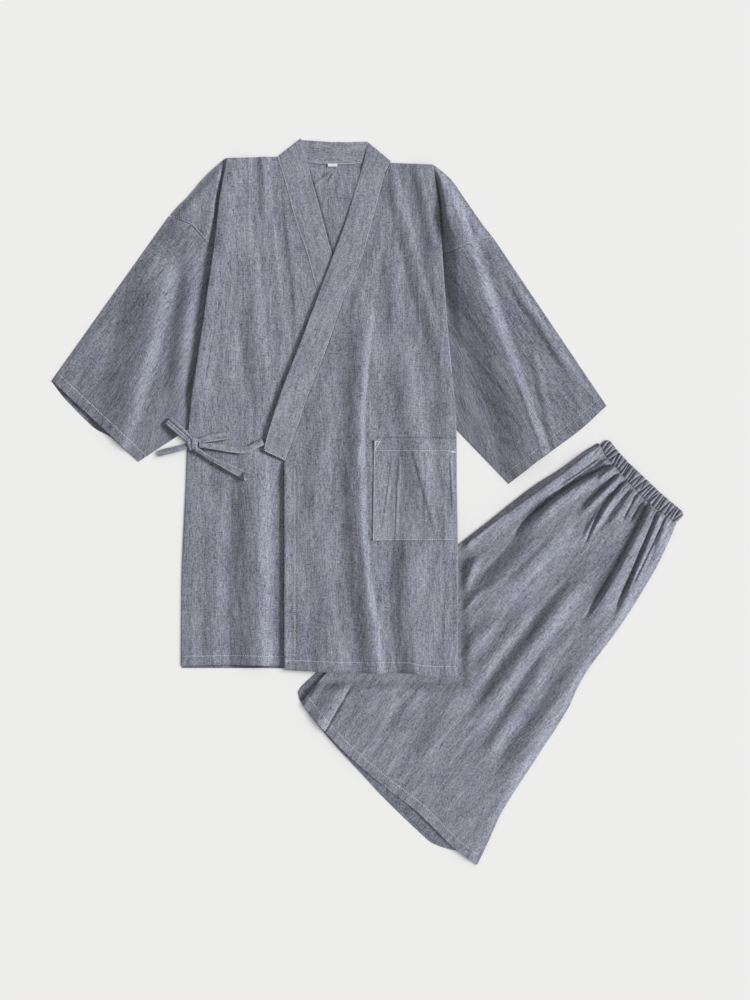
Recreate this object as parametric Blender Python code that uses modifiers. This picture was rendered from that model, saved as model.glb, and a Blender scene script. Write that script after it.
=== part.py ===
"""Jinbei set laid flat: an open-sleeved wrap jacket lying partly over its shorts, which are folded in half.

All tables are in millimetres, in the set's own frame: X to the right, Y towards the collar, Z up,
and the surface it lies on at Z = 0. Right and left are the wearer's, so the right front is at -X.
Each piece of cloth is the middle surface of a wall, given its thickness by Solidify.
"""

import math

import bmesh
import bpy
import numpy as np

MM = 0.001

# Driving dimensions
CLOTH = 1.2  # wall of one layer of cloth
BAND = 1.8  # wall of the doubled collar band
GAP = 0.4  # clear space between two layers
SEAM = 0.6  # clear space between two pieces sewn edge to edge
BEND = 0.95  # radius of a folded edge, at mid wall
STEP = CLOTH + GAP  # from one flat layer's middle to the next
FOLDED = 2 * BEND  # from a folded edge's lower layer to its upper one
FLOOR_LAYER = CLOTH / 2  # middle of a layer on the ground
FIRST_LAYER = FLOOR_LAYER + STEP  # middle of a front that lies on the back
OVER_WRAP = 2.8  # how much the left front is lifted by the right front and its band
COLLAR_LIFT = 2.7  # how much the left band is lifted where it crosses the right one
HEM_Y = -255.0  # jacket hem
ARMHOLE_Y = 112.0  # foot of the armholes
SHORTS_WAIST = (429.4, 37.2)  # centre of the shorts' waist
SHORTS_TURN = math.radians(-43.3)  # direction across the waist
BAND_HEIGHT = 22.0  # height of the waistband
SLOPE_ROOM = 1.09  # how much more the fronts rise over the shorts than the back does
COLLAR_ROWS = {"collar_right": 18, "collar_left": 22}  # rows of points along each collar band
GATHERS = 19  # gathers along the visible waistband
LEG_GATHERS = 10  # of them that run on into the leg


def table(columns, *rows):
    """A table read by column name; its first column is the one that it is read along."""
    names = columns.split()
    values = np.array(rows, float)
    return {"key": values[:, 0], **{name: values[:, i] for i, name in enumerate(names)}}


def soft(tab, name, at):
    """A column at any place along the table, on a curve that never overshoots its rows."""
    keys, values = tab["key"], tab[name]
    step = np.diff(keys)
    slope = np.diff(values) / step
    tangent = np.concatenate([slope[:1], np.zeros(len(slope) - 1), slope[-1:]])
    turning = slope[:-1] * slope[1:] <= 0
    total = np.where(turning, 1.0, slope[:-1] + slope[1:])
    tangent[1:-1] = np.where(turning, 0.0, 2 * slope[:-1] * slope[1:] / total)
    at = np.clip(at, keys[0], keys[-1])
    i = np.clip(np.searchsorted(keys, at, side="right") - 1, 0, len(step) - 1)
    q = (at - keys[i]) / step[i]
    start = values[i] + q * step[i] * tangent[i] * (1 - q) ** 2
    blend = q * q * (3 - 2 * q)
    end_pull = step[i] * tangent[i + 1] * q * q * (q - 1)
    return start + (values[i + 1] - values[i]) * blend + end_pull


def plain(tab, name, at):
    """A column at any place along the table, on straight runs, for outlines with corners."""
    return np.interp(at, tab["key"], tab[name])


def ease(low, high, at):
    q = np.clip((at - low) / (high - low), 0.0, 1.0)
    return q * q * (3 - 2 * q)


def lifted(height):
    """Keeps a sum of ridges and valleys above the layer underneath, with no hard line."""
    return (height + np.sqrt(height * height + 0.6)) / 2


def fold_height(folds, x, y):
    """Sum of the ridges (height over 0) and valleys (under 0) of a table of folds.

    A fold runs from (x1, y1) to (x2, y2) and its middle bows towards +X; it spreads by its low width
    towards -X and by its high width towards +X, and dies out at each end that isn't open.
    """
    total = np.zeros_like(x)
    for i in range(len(folds["key"])):
        row = {name: folds[name][i] for name in folds}
        dx, dy = row["x2"] - row["x1"], row["y2"] - row["y1"]
        length = math.hypot(dx, dy)
        along = ((x - row["x1"]) * dx + (y - row["y1"]) * dy) / length**2
        middle = 4 * row["bow"] * along * (1 - along)
        slant = math.copysign(dx, dx * dy)
        across = ((x - row["x1"]) * abs(dy) - (y - row["y1"]) * slant) / length - middle
        reach = np.where(across < 0, row["low"], row["high"])
        bump = np.clip(1 - (across / reach) ** 2, 0, None) ** 2
        start = 1.0 if row["open1"] else ease(0.0, 0.3, along)
        end = 1.0 if row["open2"] else ease(0.0, 0.3, 1 - along)
        total += row["height"] * bump * start * end
    return total


# Jacket body, from hem to shoulder: the outer edges, and how far each edge's fold turns under.
BODY = table(
    "y left right under_left under_right",
    (-275, -289.3, 138.7, 6, 6),
    (-137, -288.3, 140.3, 6, 6),
    (33, -281.3, 138.7, 6, 6),
    (95, -279, 138.3, 7, 7),
    (150, -274, 135.5, 12, 10),
    (218, -264, 129, 20, 16),
    (312, -250, 121, 24, 20),
    (410, -236, 114.5, 18, 16),
    (470, -229, 110, 8, 8),
    (530, -218, 101, 2, 2),
)

# Collar bands, from neck to end: the seam edge and the free edge of each.
COLLAR_RIGHT = table(
    "t seam_x seam_y free_x free_y",
    (0.0, -140.6, 533.4, -103.2, 562.6),
    (0.1, -128.6, 496.8, -92.8, 522.5),
    (0.25, -112.8, 437.4, -75.0, 458.0),
    (0.4, -95.0, 386.0, -56.0, 388.0),
    (0.52, -77.3, 321.0, -37.0, 330.0),
    (0.7, -47.5, 235.0, -8.0, 246.0),
    (0.85, -21.5, 153.0, 17.0, 166.0),
    (1.0, -3.5, 70.0, 32.0, 84.0),
)
COLLAR_LEFT = table(
    "t seam_x seam_y free_x free_y",
    (0.0, 36.3, 527.3, 1.4, 556.1),
    (0.06, 25.0, 498.9, -9.8, 513.0),
    (0.14, 15.0, 462.0, -21.8, 474.0),
    (0.23, 4.2, 422.2, -34.5, 432.0),
    (0.34, -10.1, 370.8, -51.8, 385.0),
    (0.46, -34.9, 317.3, -75.5, 322.0),
    (0.63, -63.4, 235.4, -105.2, 243.0),
    (0.8, -95.5, 153.6, -136.8, 161.0),
    (0.92, -113.3, 100.3, -153.6, 108.0),
    (1.0, -127.4, 62.8, -161.4, 78.9),
)

COLLARS = {"collar_right": COLLAR_RIGHT, "collar_left": COLLAR_LEFT}
# The stand behind the neck, from the right band to the left one: its seam edge and its top edge.
NECK = table(
    "q low_x low_y high_x high_y",
    (0.0, -91.7, 526.6, -101.9, 560.4),
    (0.25, -70.5, 524.2, -76.3, 558.3),
    (0.5, -49.3, 523.0, -50.7, 557.1),
    (0.75, -28.1, 523.6, -25.1, 557.0),
    (1.0, -6.9, 525.4, 0.5, 557.8),
)
BAND_CROWN = 0.5  # how much a band rises along its middle
# Below its collar band, the edge of each front.
FRONT_EDGE = {"collar_right": 0.0, "collar_left": -129.0}
# The left front's main ridge and, above it, the shoulder's: they part the front's columns in two, and
# on the way they are the pocket's left side.
RIDGE = table(
    "y x",
    (-275, 30.0),
    (-145, 17.0),
    (-61, 8.0),
    (95, 9.9),
    (154, 3.0),
    (235, 2.0),
    (290, 24.0),
    (350, 72.0),
    (386, 82.0),
    (425, 74.0),
    (467, 62.0),
    (499, 52.0),
    (530, 44.0),
)
# Right edge of all that lies under the left front and its band.
WRAPPED = table("y edge", (-275, 2.0), (60, 2.0), (84, 33.0), (246, -7.0), (388, -55.0), (420, -80.0))
# Left edge of the left front and its band, under which the right front lies flat.
COVER = table("y edge", (-275, -129), (62, -129), (79, -161), (250, -103), (378, -55), (430, -35))

RIGHT_HEM = table("x drop", (-290, 0.3), (-202, 1.7), (-133, -0.3), (0, -4.0))
LEFT_HEM = table("x drop", (-129, -5.7), (-24, -10.1), (65, -10.7), (89, -15.9), (139, -17.8))
RIGHT_SHOULDER = table("x rise", (-308, 1.0), (-218, 1.6), (-143, 4.0), (-94, 4.0))
LEFT_SHOULDER = table("x rise", (0, -4.0), (35, -5.3), (100, -8.4), (200, -10.0))
BACK_TOP = table(
    "x rise",
    (-222, 0.0),
    (-143, 2.5),
    (-120, -1.0),
    (-94, -5.2),
    (-49, -8.7),
    (-7, -6.3),
    (35, -6.5),
    (101, -9.5),
)

# Armhole seams, from the sleeve's top edge, over the shoulder cap, then hidden under the body's fold.
ARM_RIGHT = table(
    "t x y",
    (0.0, -307.7, 442.5),
    (0.12, -272.5, 428.0),
    (0.24, -250.3, 402.0),
    (0.32, -219.0, 390.0),
    (0.55, -226.0, 312.0),
    (0.8, -243.0, 218.0),
    (1.0, -268.0, 119.0),
)
ARM_LEFT = table(
    "t x y",
    (0.0, 194.1, 410.0),
    (0.14, 149.4, 395.2),
    (0.2, 137.0, 389.0),
    (0.3, 99.0, 376.0),
    (0.5, 101.0, 312.0),
    (0.78, 113.0, 218.0),
    (1.0, 131.0, 119.0),
)
# Cuffs, from the top edge to the underarm edge, and how far the back layer shows past the front one.
CUFF_RIGHT = table(
    "t x y peek",
    (0.0, -489.5, 187.5, 1.0),
    (0.2, -462.3, 162.0, 7.0),
    (0.5, -421.4, 124.0, 9.0),
    (0.7, -394.0, 99.0, 2.0),
    (1.0, -354.9, 61.5, 0.0),
)
CUFF_LEFT = table(
    "t x y peek",
    (0.0, 370.6, 148.4, 0.0),
    (0.3, 325.0, 111.0, 3.0),
    (0.58, 282.0, 78.0, 2.0),
    (0.8, 248.0, 50.0, 0.0),
    (1.0, 218.4, 27.4, 0.0),
)
# Outline of the back where it runs out to the armholes, from the foot of the armhole up.
BACK_SIDES = table(
    "y left right",
    (-275, -288.4, 138.0),
    (-137, -287.4, 139.5),
    (33, -280.4, 137.9),
    (108, -276.5, 136.0),
    (119, -267.2, 130.2),
    (218, -242.2, 112.2),
    (312, -225.2, 100.2),
    (376, -219.5, 98.2),
    (389, -218.4, 136.4),
    (395.5, -234.0, 150.5),
    (402, -249.6, 171.0),
    (410, -256.5, 193.4),
    (428, -271.8, 176.0),
    (443, -306.4, 165.5),
    (458, -293.0, 155.2),
    (470.4, -279.8, 146.5),
    (482.8, -269.0, 138.5),
    (507.6, -246.8, 118.0),
    (531, -218.5, 101.0),
)

# Folds of each panel.
RIGHT_FOLDS = table(
    "x1 y1 x2 y2 bow low high height open1 open2",
    (-146, 540, -143, 480, 0, 7, 9, -4.0, 1, 0),
    (-163, 540, -156, 420, 0, 12, 12, 4.0, 1, 0),
    (-174, 540, -172, 430, 0, 12, 12, -3.0, 1, 0),
    (-134, 470, -142, 150, 0, 22, 15, 5.0, 0, 0),
    (-112, 400, -94, 300, 0, 14, 14, -2.5, 0, 0),
    (-205, 480, -222, 130, 0, 24, 24, 2.5, 0, 0),
    (-180, 420, -198, 120, 0, 18, 18, -2.5, 0, 0),
    (-192, 60, -191, -270, 0, 16, 16, -4.0, 0, 1),
    (-167, 60, -152, -270, 0, 20, 18, 6.0, 0, 1),
    (-235, 50, -240, -270, 0, 24, 24, 2.5, 0, 1),
)
LEFT_FOLDS = table(
    "x1 y1 x2 y2 bow low high height open1 open2",
    (40, 535, 97, 350, -9, 14, 16, 5.0, 1, 0),
    (56, 520, 104, 380, -6, 12, 16, -3.5, 1, 0),
    (80, 420, 106, 330, 0, 16, 14, 3.5, 0, 0),
    (97, 345, 121, 150, 0, 16, 14, -4.0, 0, 0),
    (68, 300, 84, 110, 0, 22, 22, 4.0, 0, 0),
    (12, 410, -20, 290, 0, 16, 16, 2.5, 0, 0),
    (-4, 300, 30, -270, -7, 22, 13, 8.5, 0, 1),
    (-26, 90, 6, -200, 0, 16, 14, -4.0, 0, 0),
    (20, -30, 54, -190, 0, 14, 14, -4.0, 0, 0),
    (54, -150, 44, -245, 0, 12, 12, 4.5, 0, 0),
    (74, 75, 100, -25, 0, 14, 14, 3.0, 1, 0),
    (-60, 160, -90, -60, 0, 24, 24, 3.0, 0, 0),
    (-70, -60, -60, -270, 0, 26, 26, 2.5, 0, 1),
    (110, -80, 96, -230, 0, 16, 16, 3.0, 0, 0),
)
SLEEVE_RIGHT_FOLDS = table(
    "x1 y1 x2 y2 bow low high height open1 open2",
    (-308, 435, -397, 130, 0, 32, 28, -6.5, 1, 1),
    (-288, 410, -362, 120, 0, 24, 26, 6.0, 0, 1),
    (-276, 340, -320, 130, 0, 16, 18, -3.5, 0, 1),
    (-368, 330, -440, 130, 0, 28, 28, 3.0, 0, 1),
)
SLEEVE_LEFT_FOLDS = table(
    "x1 y1 x2 y2 bow low high height open1 open2",
    (170, 392, 284, 72, -5, 44, 11, 9.5, 0, 1),
    (212, 372, 304, 96, -4, 14, 22, -5.0, 0, 1),
    (256, 320, 342, 150, 0, 22, 14, 4.0, 0, 1),
    (140, 300, 170, 90, 0, 22, 26, -4.0, 0, 1),
)
CAP_FOLDS = table(
    "x1 y1 x2 y2 bow low high height open1 open2",
    (118, 520, 150, 400, 3, 9, 9, 2.5, 1, 0),
    (-262, 480, -262, 410, 0, 12, 12, 1.5, 0, 0),
)

# Shorts, in their own frame: u across the waist, v from the waist down the leg.
LEG = table(
    "v left right",
    (0, -85.0, 84.2),
    (22, -90.5, 86.0),
    (42, -97.7, 94.0),
    (85, -106.7, 108.5),
    (129, -117.9, 119.0),
    (170, -124.6, 127.2),
    (209, -130.1, 133.4),
    (273, -139.7, 140.6),
    (305, -143.5, 147.7),
    (344, -147.0, 160.6),
    (431, -152.0, 176.9),
    (518, -153.5, 193.0),
    (600, -152.3, 214.4),
    (640, -149.0, 224.0),
)
LEG_HEM = table(
    "u v",
    (-153, 617.5),
    (-87, 626.5),
    (-35, 628.3),
    (22, 625.7),
    (104, 618.3),
    (170, 620.2),
    (220, 615.0),
)
# The lower leg where it shows past the upper one.
UNDER_LEG_SIDE = table("v peek", (0, -3.2), (480, -3.2), (560, 9.0), (600, 13.0), (640, 14.0))
UNDER_LEG_HEM = table(
    "u v",
    (-166, 607.5),
    (-152, 617.2),
    (-67, 630.7),
    (1, 634.9),
    (64, 639.0),
    (118, 639.4),
    (143, 639.2),
    (159, 634.6),
    (176, 625.8),
    (193, 616.0),
    (222, 608.0),
)
LEG_FOLDS = table(
    "x1 y1 x2 y2 bow low high height open1 open2",
    (-47, 12, -80, 280, -24, 11, 13, -6.5, 1, 0),
    (-29, 12, -58, 300, -22, 14, 20, 4.5, 1, 0),
    (-34, 15, -30, 130, -6, 8, 9, -3.5, 1, 0),
    (-17, 12, -10, 135, -4, 9, 11, -5.0, 1, 0),
    (28, 12, 68, 250, 10, 11, 14, -8.0, 1, 0),
    (64, 180, 92, 450, 0, 14, 18, -4.0, 0, 0),
    (41, 12, 84, 180, 6, 10, 10, 4.5, 1, 0),
    (50, 12, 104, 210, 4, 10, 12, -6.0, 1, 0),
    (73, 50, 128, 190, 0, 10, 10, 4.0, 0, 0),
    (-16, 90, -24, 340, -2, 20, 26, 4.0, 0, 0),
    (48, 100, 78, 480, -8, 22, 18, 6.0, 0, 0),
    (124, 400, 118, 560, 0, 22, 22, 4.0, 0, 0),
    (-118, 540, -120, 640, 0, 22, 22, 4.5, 0, 1),
    (-96, 500, -112, 570, 0, 12, 14, -3.0, 0, 0),
    (-40, 500, -22, 565, 0, 14, 14, -3.0, 0, 0),
)
# Waistband: outline of its two casings, from the ground at the free edge, over both, to the seam edge; the
# grooves between the gathers go in by their depth and the puffs stand up by it.
WAIST = {"left": -84.5, "right": 83.9, "puff": 0.9, "groove": 0.6, "end_height": 0.55, "end_width": 0.8}
CASING = table(
    "step v z groove puff",
    (0, 1.2, 0.0, 0, 0),
    (1, 0.0, 2.2, 0, 0),
    (2, 1.6, 4.2, 0, 0),
    (3, 0.1, 6.4, -1, 0),
    (4, 2.4, 8.8, 0, 1),
    (5, 11.0, 9.9, 0, 1),
    (6, 19.6, 8.7, 0, 1),
    (7, 21.8, 6.4, 0, 0),
    (8, 20.6, 4.2, 0, 0),
    (9, 22.0, 2.2, 0, 0),
    (10, 20.8, 0.0, 0, 0),
)
# Leg: where the cloth at each side turns down over the layers underneath, inwards from its edge.
LEG_TURN = table("inward drop", (0.6, -1.5), (2.4, -0.4))
LEG_INSET = 6.0  # from the edge to where the leg's folds begin
LEG_FULL = 3.0  # how far the leg stands off the layers underneath, between its folds
LEG_WAVE = 2.4  # height of the gathers that run on from the waistband
HEM_START, HEM_END = 534.0, 640.0  # rows that follow the slant of the hem
HIDDEN_INSET = 3.2  # how far the hidden layers lie inside the visible leg
HIDDEN_HEM = 2.0  # the same at the hem
HIDDEN_END = 600.0  # where the hidden layers' sides meet the hem
# The shorts' hidden layers from the floor up; only the lowest shows, at the hem and the left side.
HIDDEN_LAYERS = table("foot top lower", (0.0, 1.2, True), (1.5, 2.7, True), (3.0, 4.1, False))
HIDDEN_ROUND = 0.5  # how far each layer's edge rounds inwards
HIDDEN_NECK = 1.8  # depth of the groove between two layers
LAYERS_TOP = float(HIDDEN_LAYERS["top"][-1])
LAYER_GAP = 0.5  # between layers that lie one on another
LEG_LAYER = LAYERS_TOP + LAYER_GAP + CLOTH / 2  # middle of the visible leg where it has no fold
OVER_SHORTS = LEG_LAYER + CLOTH / 2 + LAYER_GAP  # height of the jacket's underside over the shorts

# Ties: route of each over the cloth, its width, and its height over the ground.
TIE_CLOTH = 1.4
KNOT_PLACE = (-268.2, 89.1, 10.2)
KNOT_SIZE = (7.2, 9.3, 4.0)
TIES = {
    "tie_strap": table(
        "t x y z wide",
        (0.0, -163.4, 92.2, 5.9, 10),
        (0.2, -180.0, 82.8, 6.2, 10),
        (0.4, -195.0, 78.9, 6.4, 10),
        (0.6, -213.0, 81.0, 6.6, 10),
        (0.8, -236.0, 84.8, 7.6, 10),
        (1.0, -260.6, 86.0, 10.0, 7.5),
    ),
    "tie_tail_upper": table(
        "t x y z wide",
        (0.0, -261.2, 94.6, 10.0, 6.5),
        (0.4, -245.0, 97.4, 9.2, 9.5),
        (1.0, -212.2, 102.6, 8.4, 13),
    ),
    "tie_tail_lower": table(
        "t x y z wide",
        (0.0, -265.0, 80.0, 10.0, 6.5),
        (0.35, -245.0, 67.6, 9.2, 9),
        (0.6, -226.0, 58.4, 8.6, 11),
        (1.0, -181.5, 36.4, 8.4, 14),
    ),
    "tie_loop": table(
        "t x y z wide",
        (0.0, -274.4, 94.6, 10.2, 9),
        (0.5, -290.0, 109.2, 9.4, 13),
        (1.0, -308.6, 124.8, 9.0, 13),
    ),
    "tie_tail_left": table(
        "t x y z wide",
        (0.0, -275.9, 87.0, 10.2, 8),
        (0.5, -299.0, 80.4, 9.0, 9),
        (1.0, -325.2, 73.6, 7.0, 9),
    ),
}

# The bare label, just under the stand's seam: left, foot, width and height.
LABEL_BOX = (-61.5, 518.0, 15.2, 4.6)
LABEL_THICK = 1.0
COLOURS = {
    "cloth": (0.21, 0.222, 0.262),
    "band": (0.25, 0.262, 0.31),
    "label": (0.82, 0.82, 0.8),
}


def shorts_place(u, v):
    """The set's X and Y of a point of the shorts."""
    cos, sin = math.cos(SHORTS_TURN), math.sin(SHORTS_TURN)
    return SHORTS_WAIST[0] + u * cos + v * sin, SHORTS_WAIST[1] + u * sin - v * cos


def shorts_local(x, y):
    """A point's place in the shorts' own frame."""
    cos, sin = math.cos(SHORTS_TURN), math.sin(SHORTS_TURN)
    dx, dy = x - SHORTS_WAIST[0], y - SHORTS_WAIST[1]
    return dx * cos + dy * sin, dx * sin - dy * cos


def front_inner(name, y):
    """X of a front's inner edge: along its collar band's seam, and its own edge below the band."""
    tab = COLLARS[name]
    places = np.linspace(1.0, 0.0, COLLAR_ROWS[name])
    seam_x, seam_y = soft(tab, "seam_x", places), soft(tab, "seam_y", places)
    return np.where(y < seam_y[0] - 0.5, FRONT_EDGE[name], np.interp(y, seam_y, seam_x))


def ground(x, y):
    """Height of what the jacket lies on: the surface, or the shorts with a slope up to them."""
    u, v = shorts_local(x, y)
    inside = u - soft(LEG, "left", v)
    return OVER_SHORTS * ease(-85.0, -8.0, inside)


def sleeve_lift(y):
    """1 where a front's folded edge lies over a sleeve, 0 below the armhole."""
    return ease(ARMHOLE_Y - 32.0, ARMHOLE_Y, y)


def edge_level(y):
    """Height of a front's upper layer at its folded edge, above the first layer."""
    return FOLDED * (1 + sleeve_lift(y))


def front_right_height(x, y):
    cover = plain(COVER, "edge", y) - x
    inner = front_inner("collar_right", y) - x
    clear = ease(4.0, 32.0, cover) * (0.35 + 0.65 * ease(0.0, 22.0, inner))
    from_edge = x - plain(BODY, "left", y)
    edge = edge_level(y) * (1 - ease(2.0, 48.0, from_edge))
    form = lifted(1.6 + fold_height(RIGHT_FOLDS, x, y)) * ease(0.0, 20.0, from_edge)
    return ground(x, y) * SLOPE_ROOM + FIRST_LAYER + edge + clear * form


def front_left_height(x, y):
    wrap = OVER_WRAP * (1 - ease(1.0, 34.0, x - plain(WRAPPED, "edge", y)))
    inner = x - front_inner("collar_left", y)
    from_edge = plain(BODY, "right", y) - x
    edge = edge_level(y) * (1 - ease(2.0, 48.0, from_edge))
    clear = (0.25 + 0.75 * ease(0.0, 24.0, inner)) * ease(0.0, 20.0, from_edge)
    form = lifted(1.8 + fold_height(LEFT_FOLDS, x, y))
    return ground(x, y) * SLOPE_ROOM + FIRST_LAYER + wrap + edge + clear * form


def collection_of(name):
    found = bpy.data.collections.get(name) or bpy.data.collections.new(name)
    if name not in bpy.context.scene.collection.children:
        bpy.context.scene.collection.children.link(found)
    return found


def material_of(name, colour, roughness):
    material = bpy.data.materials.new(name)
    material.use_nodes = True
    shader = material.node_tree.nodes["Principled BSDF"]
    shader.inputs["Base Color"].default_value = (*colour, 1.0)
    shader.inputs["Roughness"].default_value = roughness
    shader.inputs["Metallic"].default_value = 0.0
    return material


def add_object(name, bm, colour="cloth"):
    """Turns a bmesh into a named object with its own material."""
    mesh = bpy.data.meshes.new(name)
    bm.to_mesh(mesh)
    bm.free()
    mesh.materials.append(material_of(name, COLOURS[colour], 0.85))
    obj = bpy.data.objects.new(name, mesh)
    collection_of("jinbei_set").objects.link(obj)
    return obj


def add_grid(bm, points, close=False):
    """Lays a grid of faces through rows of points; close joins the last column to the first."""
    rows = [[bm.verts.new(point) for point in row * MM] for row in points]
    for low, high in zip(rows, rows[1:]):
        last = len(low) if close else len(low) - 1
        for i in range(last):
            j = (i + 1) % len(low)
            bm.faces.new((low[i], low[j], high[j], high[i]))
    return rows


def finish_wall(name, bm, thickness, colour="cloth"):
    """Merges what the grids share, turns the faces one way and gives the wall its thickness."""
    bmesh.ops.remove_doubles(bm, verts=bm.verts, dist=0.00002)
    bmesh.ops.recalc_face_normals(bm, faces=bm.faces)
    obj = add_object(name, bm, colour)
    solidify = obj.modifiers.new("Wall", "SOLIDIFY")
    solidify.thickness = thickness * MM
    solidify.offset = 0.0
    obj.data.shade_smooth()
    return obj


def bend(centre_x, centre_z, side, steps, upper_first=False):
    """Points round a folded edge that bulges to one side, from its lower layer to its upper one."""
    angles = np.linspace(-math.pi / 2, math.pi / 2, steps + 1)
    if upper_first:
        angles = angles[::-1]
    return [(centre_x + side * BEND * math.cos(a), centre_z + BEND * math.sin(a)) for a in angles]


def front_rows(side):
    """Nominal heights of a front's rows up the body, hem to shoulder."""
    band_end = 69.6 if side < 0 else 62.5
    shared = [-215, -180, -145, -103, -61, -22, 17, band_end - 2.6, band_end, 95, ARMHOLE_Y]
    return [HEM_Y, *shared, 150, 190, 230, 270, 312, 350, 386, 402, 425, 445, 467, 490, 510, 530]


def build_front(side):
    """A front: its upper layer, the folded outer edge, the layer turned under and the shoulder cap."""
    right = side < 0
    edge_name, under_name = ("left", "under_left") if right else ("right", "under_right")
    height_at = front_right_height if right else front_left_height
    collar = "collar_right" if right else "collar_left"
    hem, shoulder = (RIGHT_HEM, RIGHT_SHOULDER) if right else (LEFT_HEM, LEFT_SHOULDER)
    grid, cap = [], []
    for y in front_rows(side):
        turn = soft(BODY, edge_name, y) - side * (BEND + CLOTH / 2)
        under = turn - side * soft(BODY, under_name, y)
        seam = float(front_inner(collar, y))
        inner = float(front_inner(collar, warped(seam, y, hem, shoulder))) + side * SEAM
        if right:
            across = np.linspace(inner, turn, 18)
        else:
            ridge = soft(RIDGE, "x", y)
            across = np.concatenate([np.linspace(inner, ridge, 10), np.linspace(ridge, turn, 11)[1:]])
        across = across[:-1]
        base = float(ground(turn, y)) * SLOPE_ROOM + FIRST_LAYER + FOLDED * sleeve_lift(y)
        top = [(x, float(height_at(np.float64(x), np.float64(y)))) for x in across]
        fold = bend(turn, base + BEND, side, 4, upper_first=True)
        low = [(turn + (under - turn) * q, base) for q in (0.5, 1.0)]
        grid.append([(x, warped(x, y, hem, shoulder), z) for x, z in top + fold + low])
        if y >= 402:
            cap.append(cap_row(side, y, under, base, hem, shoulder))
    bm = bmesh.new()
    add_grid(bm, np.array(grid))
    add_grid(bm, np.array(cap))
    name = "front_right" if right else "front_left"
    finish_wall(name, bm, CLOTH)
    return np.array(grid)


def warped(x, y, hem, shoulder):
    """A row's y, bent to the hem's line at the foot and to the shoulder's at the top."""
    low = soft(hem, "drop", x) * (1 - ease(HEM_Y, HEM_Y + 70.0, y))
    high = soft(shoulder, "rise", x) * ease(440.0, 530.0, y)
    return float(y + low + high)


def cap_row(side, y, under, base, hem, shoulder):
    """One row of the shoulder cap: from the armhole seam in under the front, then round its inner fold."""
    outer_name = "left" if side < 0 else "right"
    outer = float(plain(BACK_SIDES, outer_name, y)) - side * SEAM
    across = np.linspace(outer, under, 6)
    form = fold_height(CAP_FOLDS, across, np.full(6, float(y))) * ease(0.0, 14.0, abs(across - under))
    flat = [(x, base - FOLDED + rise) for x, rise in zip(across, form)][:-1]
    fold = bend(under, base - BEND, -side, 4)
    return [(x, warped(x, y, hem, shoulder), z) for x, z in flat + fold]


def build_back():
    below_armholes = [*np.linspace(HEM_Y, -15.0, 9), 20, 60, 108]
    under_fronts = [119, 168, 218, 265, 312, 345, 376]
    shoulders = [389, 395.5, 402, 410, 428, 443, 458, 470.4, 482.8, 507.6, 531]
    grid = []
    for y in below_armholes + under_fronts + shoulders:
        left, right = plain(BACK_SIDES, "left", y), plain(BACK_SIDES, "right", y)
        row = []
        for x in np.linspace(left, right, 13):
            top = soft(BACK_TOP, "rise", x) * ease(450.0, 531.0, y)
            foot = (plain(LEFT_HEM, "drop", x) + 2.5) * (1 - ease(-255.0, -190.0, y))
            place = float(y + top + foot)
            row.append((x, place, float(ground(x, place)) + FLOOR_LAYER))
        grid.append(row)
    bm = bmesh.new()
    add_grid(bm, np.array(grid))
    finish_wall("jacket_back", bm, CLOTH)


def build_sleeve(side):
    """A flattened tube from the armhole seam to the cuff, its lower layer flat on the surface."""
    right = side < 0
    arm, cuff = (ARM_RIGHT, CUFF_RIGHT) if right else (ARM_LEFT, CUFF_LEFT)
    folds = SLEEVE_RIGHT_FOLDS if right else SLEEVE_LEFT_FOLDS
    edge_name = "left" if right else "right"
    places = ring_places(arm)
    rings = []
    for q in (0.0, 0.06, 0.14, 0.24, 0.34, 0.44, 0.54, 0.64, 0.74, 0.83, 0.92, 1.0):
        upper, lower = [], []
        for t in places:
            x = plain(arm, "x", t) * (1 - q) + soft(cuff, "x", t) * q + side * 0.5 * (1 - q)
            y = plain(arm, "y", t) * (1 - q) + soft(cuff, "y", t) * q - 0.6 * (1 - q)
            outside = side * (x - plain(BODY, edge_name, y))
            from_edges = ease(0.0, 0.12, t) * ease(0.0, 0.12, 1 - t)
            clear = ease(3.0, 30.0, outside) * ease(0.0, 0.16, q) * from_edges
            form = lifted(2.2 + fold_height(folds, np.float64(x), np.float64(y)))
            upper.append((x, y, FLOOR_LAYER + FOLDED + clear * form))
            peek = soft(cuff, "peek", t) * q**6
            lower.append((x + side * peek * 0.55, y - peek * 0.83, FLOOR_LAYER))
        upper, lower = np.array(upper, float), np.array(lower, float)
        rings.append(tube_ring(upper, lower))
    bm = bmesh.new()
    add_grid(bm, np.array(rings), close=True)
    finish_wall("sleeve_right" if right else "sleeve_left", bm, CLOTH)


def ring_places(arm):
    """Places round a sleeve's front layer: each corner of its armhole seam, and some between them."""
    places = [0.0]
    for start, end in zip(arm["key"], arm["key"][1:]):
        parts = max(1, round((end - start) / 0.085))
        places += list(np.linspace(start, end, parts + 1)[1:])
    return places


def tube_ring(upper, lower):
    """Joins an upper and a lower layer round their two folded edges."""
    ring = []
    inset = BEND + CLOTH / 2
    for ends, points in ((True, upper), (False, lower[::-1])):
        outward = points[0] - points[1]
        outward[2] = 0.0
        outward /= np.linalg.norm(outward)
        last = points[-1] - points[-2]
        last[2] = 0.0
        last /= np.linalg.norm(last)
        body = points.copy()
        body[0] -= outward * inset
        body[-1] -= last * inset
        ring.extend(body)
        for angle in (45.0, 90.0, 135.0):
            a = math.radians(angle if ends else angle + 180.0)
            middle = FLOOR_LAYER + BEND + BEND * math.cos(a)
            ring.append((*(body[-1] + last * BEND * abs(math.sin(a)))[:2], middle))
    return np.array(ring)


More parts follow.
